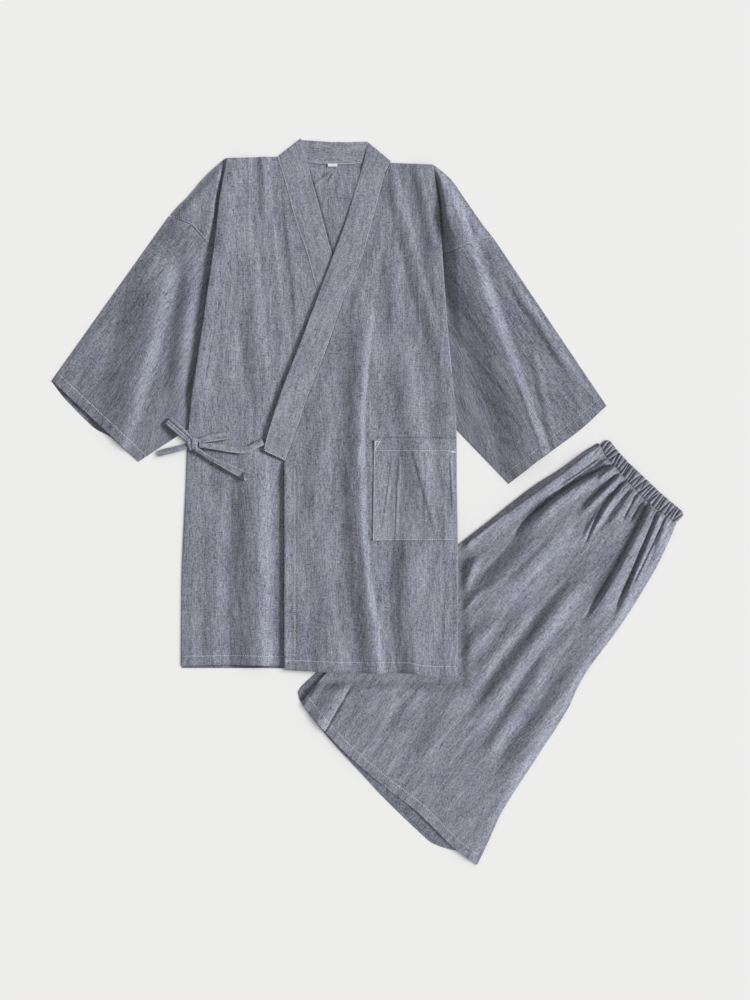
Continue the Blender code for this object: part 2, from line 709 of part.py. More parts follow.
def build_collar(name, stack):
    """A doubled band between its seam edge and its free edge, with its stack's height along it."""
    tab = COLLARS[name]
    grid = []
    for t in np.linspace(0.0, 1.0, COLLAR_ROWS[name]):
        seam = np.array([soft(tab, "seam_x", t), soft(tab, "seam_y", t)])
        free = np.array([soft(tab, "free_x", t), soft(tab, "free_y", t)])
        row = []
        for q in (0.0, 0.2, 0.5, 0.8, 1.0):
            x, y = seam * (1 - q) + free * q
            crown = BAND_CROWN * math.sin(math.pi * q)
            row.append((x, y, float(ground(x, y)) + CLOTH + GAP + BAND / 2 + stack(t) + crown))
        grid.append(row)
    bm = bmesh.new()
    add_grid(bm, np.array(grid))
    finish_wall(name, bm, BAND, "band")


def build_collar_back():
    """The stand behind the neck, between the two front bands."""
    grid = []
    for q in np.linspace(0.0, 1.0, 9):
        low = np.array([soft(NECK, "low_x", q), soft(NECK, "low_y", q)])
        high = np.array([soft(NECK, "high_x", q), soft(NECK, "high_y", q)])
        row = []
        for h in (0.0, 0.3, 0.7, 1.0):
            x, y = low * (1 - h) + high * h
            row.append((x, y, (BAND + BAND_CROWN * math.sin(math.pi * h)) / 2))
        grid.append(row)
    bm = bmesh.new()
    add_grid(bm, np.array(grid))
    finish_wall("collar_back", bm, BAND, "band")


def build_pocket(front):
    """The patch pocket, made from the left front's own points, moved out."""
    rows = [i for i, y in enumerate(front_rows(1)) if -61 <= y <= 95]
    columns = slice(9, 20)
    patch = front[rows][:, columns].copy()
    along = np.gradient(patch, axis=0)
    across = np.gradient(patch, axis=1)
    normal = np.cross(across, along)
    normal /= np.linalg.norm(normal, axis=2, keepdims=True)
    bm = bmesh.new()
    add_grid(bm, patch + normal * (CLOTH + GAP))
    finish_wall("pocket", bm, CLOTH)


def build_label():
    left, foot, wide, high = LABEL_BOX
    bpy.ops.mesh.primitive_cube_add(size=1.0)
    obj = bpy.context.object
    obj.name = obj.data.name = "label"
    for vertex in obj.data.vertices:
        vertex.co.x = (left + wide * (vertex.co.x + 0.5)) * MM
        vertex.co.y = (foot + high * (vertex.co.y + 0.5)) * MM
        vertex.co.z = (CLOTH + SEAM + LABEL_THICK * (vertex.co.z + 0.5)) * MM
    obj.data.materials.append(material_of("label", COLOURS["label"], 0.7))
    for holder in list(obj.users_collection):
        holder.objects.unlink(obj)
    collection_of("jinbei_set").objects.link(obj)


def build_ties():
    """Each stretch of the tied cords as a flat strap, and the knot that holds them."""
    for name, tab in TIES.items():
        grid = []
        places = np.linspace(0.0, 1.0, 13)
        route = np.array([[soft(tab, axis, t) for axis in ("x", "y", "z")] for t in places])
        heading = np.gradient(route, axis=0)
        for t, point, ahead in zip(places, route, heading):
            sideways = np.array([-ahead[1], ahead[0], 0.0])
            sideways *= soft(tab, "wide", t) / 2 / np.linalg.norm(sideways)
            crown = np.array([0.0, 0.0, 0.5])
            grid.append([point - sideways, point + crown, point + sideways])
        bm = bmesh.new()
        add_grid(bm, np.array(grid))
        finish_wall(name, bm, TIE_CLOTH, "band")
    bpy.ops.mesh.primitive_uv_sphere_add(segments=14, ring_count=9, radius=1.0)
    knot = bpy.context.object
    knot.name = knot.data.name = "tie_knot"
    for vertex in knot.data.vertices:
        for axis in range(3):
            vertex.co[axis] = (KNOT_PLACE[axis] + KNOT_SIZE[axis] * vertex.co[axis]) * MM
    knot.data.materials.append(material_of("tie_knot", COLOURS["band"], 0.85))
    knot.data.shade_smooth()
    for holder in list(knot.users_collection):
        holder.objects.unlink(knot)
    collection_of("jinbei_set").objects.link(knot)


def leg_height(u, v):
    """Middle of the visible leg's cloth, in the shorts' frame."""
    x, y = shorts_place(u, v)
    clear = ease(10.0, 40.0, np.maximum(x - 141.0, -274.0 - y))
    across = (u - WAIST["left"]) / (WAIST["right"] - WAIST["left"])
    wave = LEG_WAVE * np.cos(2 * math.pi * LEG_GATHERS * across) * (1 - ease(BAND_HEIGHT, 90.0, v))
    form = lifted(LEG_FULL + fold_height(LEG_FOLDS, u, v) + wave)
    left, right = soft(LEG, "left", v), soft(LEG, "right", v)
    side = ease(0.0, 18.0, u - left) * ease(0.0, 18.0, right - u)
    return LEG_LAYER + clear * side * form


def build_leg():
    """The visible leg: its side edges turn down over the layers underneath."""
    rows = []
    gathered = [BAND_HEIGHT + SEAM, 36, 50, 66, 84, 104, 126, 150, 176, 204, 234, 266, 300, 336]
    for v in gathered + [374, 414, 454, 494, HEM_START, 572, 604, HEM_END]:
        left, right = soft(LEG, "left", v), soft(LEG, "right", v)
        turn = list(zip(LEG_TURN["inward"], LEG_TURN["drop"]))
        row = [(left + inward, drop) for inward, drop in turn]
        row += [(u, None) for u in np.linspace(left + LEG_INSET, right - LEG_INSET, 27)]
        row += [(right - inward, drop) for inward, drop in reversed(turn)]
        points = []
        for u, drop in row:
            share = max(0.0, (v - HEM_START) / (HEM_END - HEM_START))
            place = float(v if v < HEM_START else HEM_START + (soft(LEG_HEM, "v", u) - HEM_START) * share)
            z = LEG_LAYER + drop if drop is not None else float(leg_height(np.float64(u), np.float64(place)))
            points.append((*shorts_place(u, place), z))
        rows.append(points)
    bm = bmesh.new()
    add_grid(bm, np.array(rows, float))
    finish_wall("shorts_leg_upper", bm, CLOTH)


def leg_loop(inset, z, lower):
    """The outline of one hidden layer of the shorts."""
    hem = UNDER_LEG_HEM if lower else LEG_HEM
    points = []
    for v in np.linspace(BAND_HEIGHT + SEAM + inset, HIDDEN_END, 13):
        peek = soft(UNDER_LEG_SIDE, "peek", v) if lower else -HIDDEN_INSET
        points.append((soft(LEG, "left", v) - peek + inset, v))
    start = points[-1][0]
    end = soft(LEG, "right", HIDDEN_END) - HIDDEN_INSET - inset
    for u in np.linspace(start + 4.0, end - 4.0, 14):
        points.append((u, soft(hem, "v", u) - inset - (0.0 if lower else HIDDEN_HEM)))
    for v in np.linspace(HIDDEN_END, BAND_HEIGHT + SEAM + inset, 13):
        points.append((soft(LEG, "right", v) - HIDDEN_INSET - inset, v))
    return np.array([(*shorts_place(u, v), z) for u, v in points], float)


def build_layers():
    """The shorts' hidden layers as one solid, with each layer's rounded edge round it."""
    rings = []
    for foot, top, lower in zip(HIDDEN_LAYERS["foot"], HIDDEN_LAYERS["top"], HIDDEN_LAYERS["lower"]):
        rings.append(leg_loop(HIDDEN_ROUND, foot, lower))
        rings.append(leg_loop(0.0, (foot + top) / 2, lower))
        rings.append(leg_loop(HIDDEN_ROUND, top, lower))
        if top < LAYERS_TOP:
            rings.append(leg_loop(HIDDEN_NECK, top + SEAM / 2, False))
    bm = bmesh.new()
    rows = add_grid(bm, np.array(rings), close=True)
    bm.faces.new(rows[0])
    bm.faces.new(rows[-1])
    bmesh.ops.recalc_face_normals(bm, faces=bm.faces)
    add_object("shorts_layers", bm)


def build_waistband():
    """The gathered waistband, folded in half with the shorts: two casings that meet in a groove."""
    sections = []
    count = GATHERS * 4
    middle = BAND_HEIGHT / 2
    for i in range(count + 1):
        u = WAIST["left"] + (WAIST["right"] - WAIST["left"]) * i / count
        wave = math.cos(2 * math.pi * i / 4)
        end = math.sqrt(max(0.0, 1 - abs(2 * i / count - 1) ** 14))
        wide = WAIST["end_width"] + (1 - WAIST["end_width"]) * end
        high = WAIST["end_height"] + (1 - WAIST["end_height"]) * end
        v = CASING["v"] + CASING["groove"] * WAIST["groove"] * wave
        z = CASING["z"] + CASING["puff"] * WAIST["puff"] * wave
        x, y = shorts_place(u, middle + (v - middle) * wide)
        sections.append(np.stack([x, y, z * high], 1))
    bm = bmesh.new()
    rows = add_grid(bm, np.array(sections), close=True)
    bm.faces.new(rows[0])
    bm.faces.new(rows[-1])
    bmesh.ops.recalc_face_normals(bm, faces=bm.faces)
    obj = add_object("shorts_waistband", bm)
    obj.data.shade_smooth()


def main():
    for obj in list(bpy.data.objects):
        bpy.data.objects.remove(obj)
    build_back()
    build_sleeve(-1)
    build_sleeve(1)
    build_front(-1)
    left_front = build_front(1)
    build_collar_back()
    build_collar("collar_right", lambda t: 0.0)
    build_collar("collar_left", lambda t: COLLAR_LIFT * float(ease(0.12, 0.3, t)))
    build_pocket(left_front)
    build_label()
    build_ties()
    build_layers()
    build_leg()
    build_waistband()


main()
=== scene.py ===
import math

import bpy
import numpy as np
from mathutils import Matrix, Vector
from mathutils.bvhtree import BVHTree


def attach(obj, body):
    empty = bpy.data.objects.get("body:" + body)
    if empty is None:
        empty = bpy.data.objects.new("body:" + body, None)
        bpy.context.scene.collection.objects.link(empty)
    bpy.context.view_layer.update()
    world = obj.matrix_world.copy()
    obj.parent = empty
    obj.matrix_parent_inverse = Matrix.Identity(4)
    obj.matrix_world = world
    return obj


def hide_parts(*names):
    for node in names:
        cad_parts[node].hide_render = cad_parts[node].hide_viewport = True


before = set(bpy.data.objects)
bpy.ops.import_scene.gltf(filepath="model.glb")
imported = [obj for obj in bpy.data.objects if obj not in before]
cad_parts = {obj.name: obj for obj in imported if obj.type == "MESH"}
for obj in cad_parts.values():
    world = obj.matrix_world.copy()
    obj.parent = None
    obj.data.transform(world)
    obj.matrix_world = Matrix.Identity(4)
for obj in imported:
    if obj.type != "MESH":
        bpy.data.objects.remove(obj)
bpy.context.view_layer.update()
bpy.ops.object.select_all(action="DESELECT")
mm = 0.001  # every size and place below is in millimetres


# tables, folds and the cloth's fine relief

def table(columns, *rows):
    # named columns of numbers; the first one is also the key that places are looked up by
    values = np.array(rows, float)
    return {"key": values[:, 0], **{name: values[:, i] for i, name in enumerate(columns.split())}}


def foldTable(*rows):
    # each row is a ridge (height over 0) or a valley (under 0) from point 1 to point 2; it spreads by low
    # towards -X and by high towards +X, bows towards +X, and dies out at each end that isn't open
    return table("x1 y1 x2 y2 bow low high height open1 open2", *rows)


def rowsOf(tab):
    return [{name: tab[name][i] for name in tab} for i in range(len(tab["key"]))]


def soft(tab, name, at):
    # a smooth curve through the rows that never overshoots them
    keys, values = tab["key"], tab[name]
    step = np.diff(keys)
    slope = np.diff(values) / step
    turning = slope[:-1] * slope[1:] <= 0
    total = np.where(turning, 1.0, slope[:-1] + slope[1:])
    inner = np.where(turning, 0.0, 2 * slope[:-1] * slope[1:] / total)
    tangent = np.concatenate([slope[:1], inner, slope[-1:]])
    at = np.clip(at, keys[0], keys[-1])
    i = np.clip(np.searchsorted(keys, at, side="right") - 1, 0, len(step) - 1)
    q = (at - keys[i]) / step[i]
    start = values[i] + q * step[i] * tangent[i] * (1 - q) ** 2
    end = step[i] * tangent[i + 1] * q * q * (q - 1)
    return start + (values[i + 1] - values[i]) * q * q * (3 - 2 * q) + end


def straight(tab, name, at):
    return np.interp(at, tab["key"], tab[name])


def ease(low, high, at):
    q = np.clip((at - low) / (high - low), 0.0, 1.0)
    return q * q * (3 - 2 * q)


def bump(at, middle, wide):
    # 1 at the middle, fading out to both sides
    return np.exp(-(((at - middle) / wide) ** 2))


def lifted(height):
    # keeps a sum of ridges and valleys above the layer underneath
    return (height + np.sqrt(height * height + 0.6)) / 2


def pointRow(*axes):
    # a row of points from its coordinates, each an array or one number for all
    return np.stack(np.broadcast_arrays(*axes), -1)


def runLength(steps):
    # how far along its line each point is
    return np.concatenate([[0.0], np.cumsum(steps)])


def foldHeight(folds, x, y):
    total = np.zeros(np.broadcast(x, y).shape)
    for row in rowsOf(folds):
        dx, dy = row["x2"] - row["x1"], row["y2"] - row["y1"]
        length = math.hypot(dx, dy)
        along = ((x - row["x1"]) * dx + (y - row["y1"]) * dy) / length**2
        slant = math.copysign(dx, dx * dy)
        across = ((x - row["x1"]) * abs(dy) - (y - row["y1"]) * slant) / length
        across = across - 4 * row["bow"] * along * (1 - along)
        ridge = np.clip(1 - (across / np.where(across < 0, row["low"], row["high"])) ** 2, 0, None) ** 2
        start = 1.0 if row["open1"] else ease(0.0, 0.3, along)
        end = 1.0 if row["open2"] else ease(0.0, 0.3, 1 - along)
        total = total + row["height"] * ridge * start * end
    return total


def noiseAt(x, y, seed, cells=64):
    # one random height at each whole place, eased between them
    heights = np.random.default_rng(seed).uniform(-1.0, 1.0, (cells, cells))
    x, y = np.broadcast_arrays(np.asarray(x, float), np.asarray(y, float))
    i, j = np.floor(x).astype(int), np.floor(y).astype(int)
    p, q = x - i, y - j
    p, q = p * p * (3 - 2 * p), q * q * (3 - 2 * q)
    near, far = (heights[row % cells, i % cells] * (1 - p) + heights[row % cells, (i + 1) % cells] * p
                 for row in (j, j + 1))
    return near * (1 - q) + far * q


def crumple(x, y, across, along, seed):
    # soft uneven wrinkles, longer along the grain than across it
    broad = noiseAt(x / across, y / along, seed)
    return broad + 0.5 * noiseAt(2.1 * x / across + 9, 2.1 * y / along + 4, seed + 1)


def creases(x, y, across, along, seed):
    # thin pressed lines where a slow noise passes through zero
    return np.clip(1 - 6 * np.abs(noiseAt(x / across, y / along, seed)), 0, None) ** 2


def fineFolds(form, x, y, wrinkleSeed, creaseSeed):
    # a piece's small wrinkles and creases: how high, and how wide across the grain and long along it
    (high, *wrinkleSize), (deep, *creaseSize) = form["wrinkle"], form["crease"]
    return high * crumple(x, y, *wrinkleSize, wrinkleSeed) + deep * creases(x, y, *creaseSize, creaseSeed)


hemForm = {"thick": 0.4, "groove": 0.45, "grooveWide": 1.3, "pucker": 0.3, "puckerLong": 4.5, "puckerWide": 7}


def hemRelief(inward, along, depth, seed):
    # a turned-in hem: thicker up to its stitch line, a groove at the stitches and small puckers round it
    thick = hemForm["thick"] * (1 - ease(depth - 1, depth + 1.5, inward))
    groove = hemForm["groove"] * bump(inward, depth, hemForm["grooveWide"])
    pucker = noiseAt(along / hemForm["puckerLong"], inward / 30, seed)
    return thick - groove + hemForm["pucker"] * (pucker * bump(inward, depth, hemForm["puckerWide"]))


# the layers of cloth, bottom to top
layers = {
    "wall": 0.9,  # one layer of cloth
    "band": 1.5,  # the doubled collar band
    "seam": 0.3,  # clear space between two pieces sewn edge to edge
    "bend": 0.95,  # radius of a folded edge at mid wall
    "floor": 0.6,  # middle of a layer on the ground
    "first": 2.2,  # middle of a front that lies on the back
    "cadWall": 1.2,
    "overWrap": 2.8,  # how much the left front is lifted by the right one
    "overSeam": 1.3,  # middle of a collar band over the wall that it lies on
    "collarLift": 2.7,
    "slopeRoom": 1.09,
}
folded = 2 * layers["bend"]
edgeInset = layers["bend"] + layers["cadWall"] / 2
shortsPlace = {"waist": (429.4, 37.2), "turn": math.radians(-43.3), "band": 22.0, "slope": (-85.0, -8.0)}
shortsCos, shortsSin = math.cos(shortsPlace["turn"]), math.sin(shortsPlace["turn"])
legLevel = {"lowest": 0.6, "lower": 2.1, "under": 3.55, "top": 5.2}
overShorts = legLevel["top"] + 1.1


def shortsXY(u, v):
    x, y = shortsPlace["waist"]
    return x + u * shortsCos + v * shortsSin, y + u * shortsSin - v * shortsCos


def shortsUV(x, y):
    dx, dy = x - shortsPlace["waist"][0], y - shortsPlace["waist"][1]
    return dx * shortsCos + dy * shortsSin, dx * shortsSin - dy * shortsCos


legSides = table(
    "v left right",
    (0, -85, 84.2), (22, -90.5, 86), (42, -97.7, 94), (85, -106.7, 108.5), (129, -117.9, 119),
    (170, -124.6, 127.2), (209, -130.1, 133.4), (273, -139.7, 140.6), (305, -143.5, 147.7),
    (344, -147, 160.6), (431, -152, 176.9), (518, -153.5, 193), (600, -152.3, 214.4),
    (640, -149, 224),
)


def ground(x, y):
    # what the jacket lies on: the surface, or the shorts with a slope up to them
    u, v = shortsUV(x, y)
    return overShorts * ease(*shortsPlace["slope"], u - soft(legSides, "left", v))


# making and finishing pieces
finishing = {"merge": 0.02, "rimSegments": 2, "rimOver": math.radians(60), "smoothUnder": math.radians(50)}


def selectOnly(*pieces):
    bpy.ops.object.select_all(action="DESELECT")
    for piece in pieces:
        piece.select_set(True)
    bpy.context.view_layer.objects.active = pieces[0]


def addGrid(name, places, flat):
    # a grid primitive moved to the cloth's shape, row by row; its UV map is the flat cloth in metres
    places = np.array(places)
    rows, columns = places.shape[:2]
    bpy.ops.mesh.primitive_grid_add(x_subdivisions=columns - 1, y_subdivisions=rows - 1, size=1.0)
    piece = bpy.context.object
    piece.name = piece.data.name = name
    piece.data.vertices.foreach_set("co", (places * mm).astype(np.float32).ravel())
    corner = np.empty(len(piece.data.loops), np.int32)
    piece.data.loops.foreach_get("vertex_index", corner)
    flat = (np.array(flat).reshape(-1, 2) * mm)[corner]
    piece.data.uv_layers.active.data.foreach_set("uv", flat.astype(np.float32).ravel())
    return piece


def joinPieces(pieces):
    selectOnly(*pieces)
    bpy.ops.object.join()
    return bpy.context.object


def weld(piece):
    selectOnly(piece)
    bpy.ops.object.mode_set(mode="EDIT")
    bpy.ops.mesh.select_all(action="SELECT")
    bpy.ops.mesh.remove_doubles(threshold=finishing["merge"] * mm)
    bpy.ops.mesh.normals_make_consistent(inside=False)
    bpy.ops.object.mode_set(mode="OBJECT")
    return piece


def giveWall(piece, wall, rim=0.0):
    selectOnly(piece)
    thicken = piece.modifiers.new("wall", "SOLIDIFY")
    thicken.thickness = wall * mm
    thicken.offset = 0.0
    bpy.ops.object.modifier_apply(modifier="wall")
    if rim:
        soften = piece.modifiers.new("rim", "BEVEL")
        soften.width = rim * mm
        soften.segments = finishing["rimSegments"]
        soften.limit_method = "ANGLE"
        soften.angle_limit = finishing["rimOver"]
        bpy.ops.object.modifier_apply(modifier="rim")
    bpy.ops.object.shade_smooth_by_angle(angle=finishing["smoothUnder"])
    return piece


def makeCloth(name, places, flat, wall, rim=0.0, tube=False):
    piece = addGrid(name, places, flat)
    return giveWall(weld(piece) if tube else piece, wall, rim)


def place(piece, material, slot, *nodes):
    piece.data.materials.clear()
    piece.data.materials.append(material)
    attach(piece, "root")
    if nodes:
        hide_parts(*nodes)
    return piece


# cloth materials

def nodeMaker(tree):
    def fill(node, inputs):
        for socket, value in dict(inputs).items():
            if isinstance(value, bpy.types.NodeSocket):
                tree.links.new(value, node.inputs[socket])
            else:
                node.inputs[socket].default_value = value
        return node

    def make(kind, inputs=(), **settings):
        node = tree.nodes.new(kind)
        for name, value in settings.items():
            setattr(node, name, value)
        return fill(node, inputs)
    return make, fill


def newMaterial(name):
    material = bpy.data.materials.new(name)
    material.use_nodes = True
    make, fill = nodeMaker(material.node_tree)
    return material, make, lambda inputs: fill(material.node_tree.nodes["Principled BSDF"], inputs)


chambray = {"Dark": (0.055, 0.06, 0.085, 1), "Light": (0.415, 0.43, 0.50, 1), "Tint": (0.42, 0.37, 0.5, 1)}
threadStep = 0.0011  # metres from one thread to the next
weaveNoises = {  # scale across and along, detail, and where the noise starts
    "warpSlub": ((560, 90, 1), 2.0, (0.3, 0.1, 0)),
    "weftSlub": ((110, 600, 1), 2.0, (1.7, 2.1, 0)),
    "speckle": ((400, 310, 1), 3.0, (4.2, 0.6, 0)),
    "streak": ((150, 22, 1), 2.0, (8.2, 1.6, 0)),
    "cloud": ((22, 14, 1), 2.0, (6.1, 3.3, 0)),
    "hue": ((34, 16, 1), 2.0, (2.9, 8.3, 0)),
    "wander": ((90, 90, 1), 1.0, (0.9, 5.2, 0)),
    "wrinkle": ((120, 45, 1), 3.0, (3.3, 7.7, 0)),
}


def weaveGroup():
    # chambray: dark warp and pale weft in a plain weave, with thick and thin stretches in both
    group = bpy.data.node_groups.new("chambrayWeave", "ShaderNodeTree")
    inputs = {"Vector": "Vector", **dict.fromkeys(chambray, "Color"), "Balance": "Float", "Relief": "Float"}
    outputs = {"Color": "Color", "Height": "Float", "Roughness": "Float"}
    for way, sockets in (("INPUT", inputs), ("OUTPUT", outputs)):
        for name, kind in sockets.items():
            group.interface.new_socket(name, in_out=way, socket_type="NodeSocket" + kind)
    make, _ = nodeMaker(group)
    given = make("NodeGroupInput").outputs

    made = {}
    for name, (scale, detail, start) in weaveNoises.items():
        moved = make("ShaderNodeMapping", {"Vector": given["Vector"], "Location": start, "Scale": scale})
        inputs = {"Vector": moved.outputs[0], "Scale": 1.0, "Detail": detail, "Roughness": 0.6}
        made[name] = make("ShaderNodeTexNoise", inputs, noise_dimensions="2D").outputs["Fac"]

    def maths(operation, a, b=0.0, c=0.0):
        return make("ShaderNodeMath", {0: a, 1: b, 2: c}, operation=operation).outputs[0]

    def swing(name, amount):
        # a noise made to swing by this much about zero
        return maths("MULTIPLY_ADD", made[name], amount, -0.5 * amount)

    # threads: two sets of ridges a thread apart, wandering a little
    wander = swing("wander", 1.6)
    split = make("ShaderNodeSeparateXYZ", {0: given["Vector"]})
    warp, weft = (maths("SINE", maths("MULTIPLY_ADD", split.outputs[i], 2 * math.pi / threadStep, wander))
                  for i in range(2))
    threads = maths("MULTIPLY", warp, weft)
    slubs = maths("ADD", swing("warpSlub", 0.75), swing("weftSlub", 0.5))
    mixed = slubs
    for name, amount in (("speckle", 1.0), ("streak", 0.5), ("cloud", 0.3)):
        mixed = maths("ADD", mixed, swing(name, amount))
    mixed = maths("MULTIPLY_ADD", threads, 0.1, mixed)
    mixed = maths("ADD", mixed, given["Balance"])
    colour = make("ShaderNodeMix", {0: mixed, 6: given["Dark"], 7: given["Light"]}, data_type="RGBA")
    share = make("ShaderNodeMapRange", {0: made["hue"], 1: 0.42, 2: 0.68, 3: 0.0, 4: 0.3})
    tinted = make("ShaderNodeMix", {0: share.outputs[0], 6: colour.outputs[2], 7: given["Tint"]},
                  data_type="RGBA", blend_type="SOFT_LIGHT")
    height = maths("MULTIPLY_ADD", threads, 0.12, maths("MULTIPLY", swing("wrinkle", 2.2), given["Relief"]))
    height = maths("MULTIPLY_ADD", slubs, 0.35, height)
    rough = maths("MULTIPLY_ADD", made["speckle"], 0.2, 0.76)
    make("NodeGroupOutput", {"Color": tinted.outputs[2], "Height": height, "Roughness": rough},
         is_active_output=True)
    return group


weave = weaveGroup()


def clothMaterial(name, balance, relief=1.0):
    material, make, finish = newMaterial(name)
    flat = make("ShaderNodeTexCoord").outputs["UV"]
    woven = make("ShaderNodeGroup", {"Vector": flat, **chambray, "Balance": balance, "Relief": relief},
                 node_tree=weave).outputs
    bumps = make("ShaderNodeBump", {"Height": woven["Height"], "Strength": 0.8, "Distance": 0.0004})
    finish({"Base Color": woven["Color"], "Roughness": woven["Roughness"], "Normal": bumps.outputs[0],
            "Sheen Weight": 0.18, "Sheen Roughness": 0.5, "Specular IOR Level": 0.25})
    return material


def threadMaterial():
    material, make, finish = newMaterial("sewingThread")
    where = make("ShaderNodeTexCoord").outputs["Object"]
    worn = make("ShaderNodeTexNoise", {"Vector": where, "Scale": 140.0, "Detail": 2.0}).outputs["Fac"]
    shade = make("ShaderNodeMix", {0: worn, 6: (0.5, 0.52, 0.58, 1), 7: (0.9, 0.91, 0.93, 1)}, data_type="RGBA")
    finish({"Base Color": shade.outputs[2], "Roughness": 0.6})
    return material


def labelMaterial():
    material, make, finish = newMaterial("wovenTape")
    where = make("ShaderNodeTexCoord").outputs["Object"]
    ribs = make("ShaderNodeTexWave", {"Vector": where, "Scale": 900.0, "Distortion": 0.4}, bands_direction="Y")
    shade = make("ShaderNodeMix", {0: ribs.outputs["Fac"], 6: (0.7, 0.71, 0.74, 1), 7: (0.9, 0.9, 0.92, 1)},
                 data_type="RGBA")
    bumps = make("ShaderNodeBump", {"Height": ribs.outputs["Fac"], "Distance": 0.0001})
    finish({"Base Color": shade.outputs[2], "Normal": bumps.outputs[0], "Roughness": 0.55})
    return material


clothShades = {  # how pale each piece's cloth is set, then how strong the small wrinkles are
    # the sleeves' cloth is set darker than the fronts'
    "body": ("chambrayBody", 0.5), "patch": ("chambrayPocket", 0.54), "sleeve": ("chambraySleeve", 0.425),
    "band": ("chambrayBand", 0.56, 0.7), "inside": ("chambrayInside", 0.47, 0.7),
    # "tie" is set lighter than "body" as a painted highlight for the ties' raised, lit faces
    # "under" is painted shade: the shorts' chambray made darker where the lower leg lies in shadow
    "shorts": ("chambrayShorts", 0.51), "under": ("chambrayUnder", 0.38), "tie": ("chambrayTie", 0.55, 0.6),
    "waist": ("chambrayWaist", 0.47, 0.4),
}
finishes = {name: clothMaterial(*shade) for name, shade in clothShades.items()}
finishes.update(thread=threadMaterial(), tape=labelMaterial())
print("materials made")

# camera, light and floor
view = {"centre": (11.6, 2.3), "height": 5.0, "frame": 1.55, "sensor": 24.0}
bpy.ops.object.camera_add(location=(view["centre"][0] * mm, view["centre"][1] * mm, view["height"]))
camera = bpy.context.object
camera.data.sensor_fit = "VERTICAL"
camera.data.sensor_height = view["sensor"]
camera.data.lens = view["sensor"] * view["height"] / view["frame"]
bpy.context.scene.camera = camera

light = {"sky": 0.36, "floor": (0.9, 0.895, 0.89, 1), "from": (1.5, 0, 2)}
lampPlaces = {  # what each lamp lights: its strength, spread, height and heading in degrees
    "jacket": (3.8, 18, 29, 14),
    "shorts": (3.8, 18, 29, -32),
    "floor": (2.1, 45, 62, 14),
}
lamps = {}
for lit, (strength, spread, height, heading) in lampPlaces.items():
    turned = (0, math.radians(90 - height), math.radians(heading))
    bpy.ops.object.light_add(type="SUN", location=light["from"], rotation=turned)
    lamps[lit] = bpy.context.object
    lamps[lit].name = "lamp_" + lit
    lamps[lit].data.energy = strength
    lamps[lit].data.angle = math.radians(spread)
world = bpy.data.worlds.new("softSky")
world.use_nodes = True
sky = world.node_tree.nodes["Background"].inputs
sky["Color"].default_value, sky["Strength"].default_value = (1.0, 1.0, 1.0, 1), light["sky"]
bpy.context.scene.world = world
bpy.context.scene.view_settings.view_transform = "Standard"

bpy.ops.mesh.primitive_plane_add(size=30.0)
floor = bpy.context.object
floor.name = "floor"
paper, _, finish = newMaterial("floorPaper")
finish({"Base Color": light["floor"], "Roughness": 0.9, "Specular IOR Level": 0.1})
floor.data.materials.append(paper)
print("camera, light and floor set")

# jacket: the tables that its pieces share
hemY, armholeY = -255.0, 112.0
sides = {"right": (-1, "left"), "left": (1, "right")}  # which way is outwards, and which edge lies there
body = table(
    "y left right leftUnder rightUnder",
    (-275, -289.3, 138.7, 6, 6), (-137, -288.3, 140.3, 6, 6), (33, -281.3, 138.7, 6, 6),
    (95, -279, 138.3, 7, 7), (150, -274, 135.5, 12, 10), (218, -264, 129, 20, 16), (312, -250, 121, 24, 20),
    (410, -236, 114.5, 18, 16), (470, -229, 110, 8, 8), (530, -218, 101, 2, 2),
)
collarSeams = {
    "right": table(
        "t seamX seamY freeX freeY",
        (0, -140.6, 533.4, -103.2, 562.6), (0.1, -128.6, 496.8, -92.8, 522.5),
        (0.25, -112.8, 437.4, -75, 458), (0.4, -95, 386, -56, 388),
        (0.52, -77.3, 321, -37, 330), (0.7, -47.5, 235, -8, 246),
        (0.85, -21.5, 153, 17, 166), (1, -3.5, 70, 32, 84),
    ),
    "left": table(
        "t seamX seamY freeX freeY",
        (0, 36.3, 527.3, 1.4, 556.1), (0.06, 25, 498.9, -9.8, 513), (0.14, 15, 462, -21.8, 474),
        (0.23, 4.2, 422.2, -34.5, 432), (0.34, -10.1, 370.8, -51.8, 385),
        (0.46, -34.9, 317.3, -75.5, 322), (0.63, -63.4, 235.4, -105.2, 243),
        (0.8, -95.5, 153.6, -136.8, 161), (0.92, -113.3, 100.3, -153.6, 108),
        (1, -127.4, 62.8, -161.4, 78.9),
    ),
}
frontEdge = {"right": 0.0, "left": -129.0}
# the right front's inner edge, which lifts the left front that lies on it
wrapped = table("y edge", (-275, 2), (60, 2), (84, 33), (246, -7), (388, -55), (420, -80))
# the left front's inner edge, past which the right front is pressed flat
cover = table("y edge", (-275, -129), (62, -129), (79, -161), (250, -103), (378, -55), (430, -35))
hems = {
    "right": table("x drop", (-290, 0.3), (-202, 1.7), (-133, -0.3), (0, -4)),
    "left": table("x drop", (-129, -5.7), (-24, -10.1), (65, -10.7), (89, -15.9), (139, -17.8)),
}
shoulders = {
    "right": table("x rise", (-308, 1), (-218, 1.6), (-143, 4), (-94, 4)),
    "left": table("x rise", (0, -4), (35, -5.3), (100, -8.4), (200, -10)),
}
backTop = table(
    "x rise", (-222, 0), (-143, 2.5), (-120, -1), (-94, -5.2), (-49, -8.7), (-7, -6.3), (35, -6.5), (101, -9.5)
)
armholes = {
    "right": table(
        "t x y", (0, -307.7, 442.5), (0.12, -272.5, 428), (0.24, -250.3, 402), (0.32, -219, 390),
        (0.55, -226, 312), (0.8, -243, 218), (1, -268, 119),
    ),
    "left": table(
        "t x y", (0, 194.1, 410), (0.14, 149.4, 395.2), (0.2, 137, 389), (0.3, 99, 376),
        (0.5, 101, 312), (0.78, 113, 218), (1, 131, 119),
    ),
}
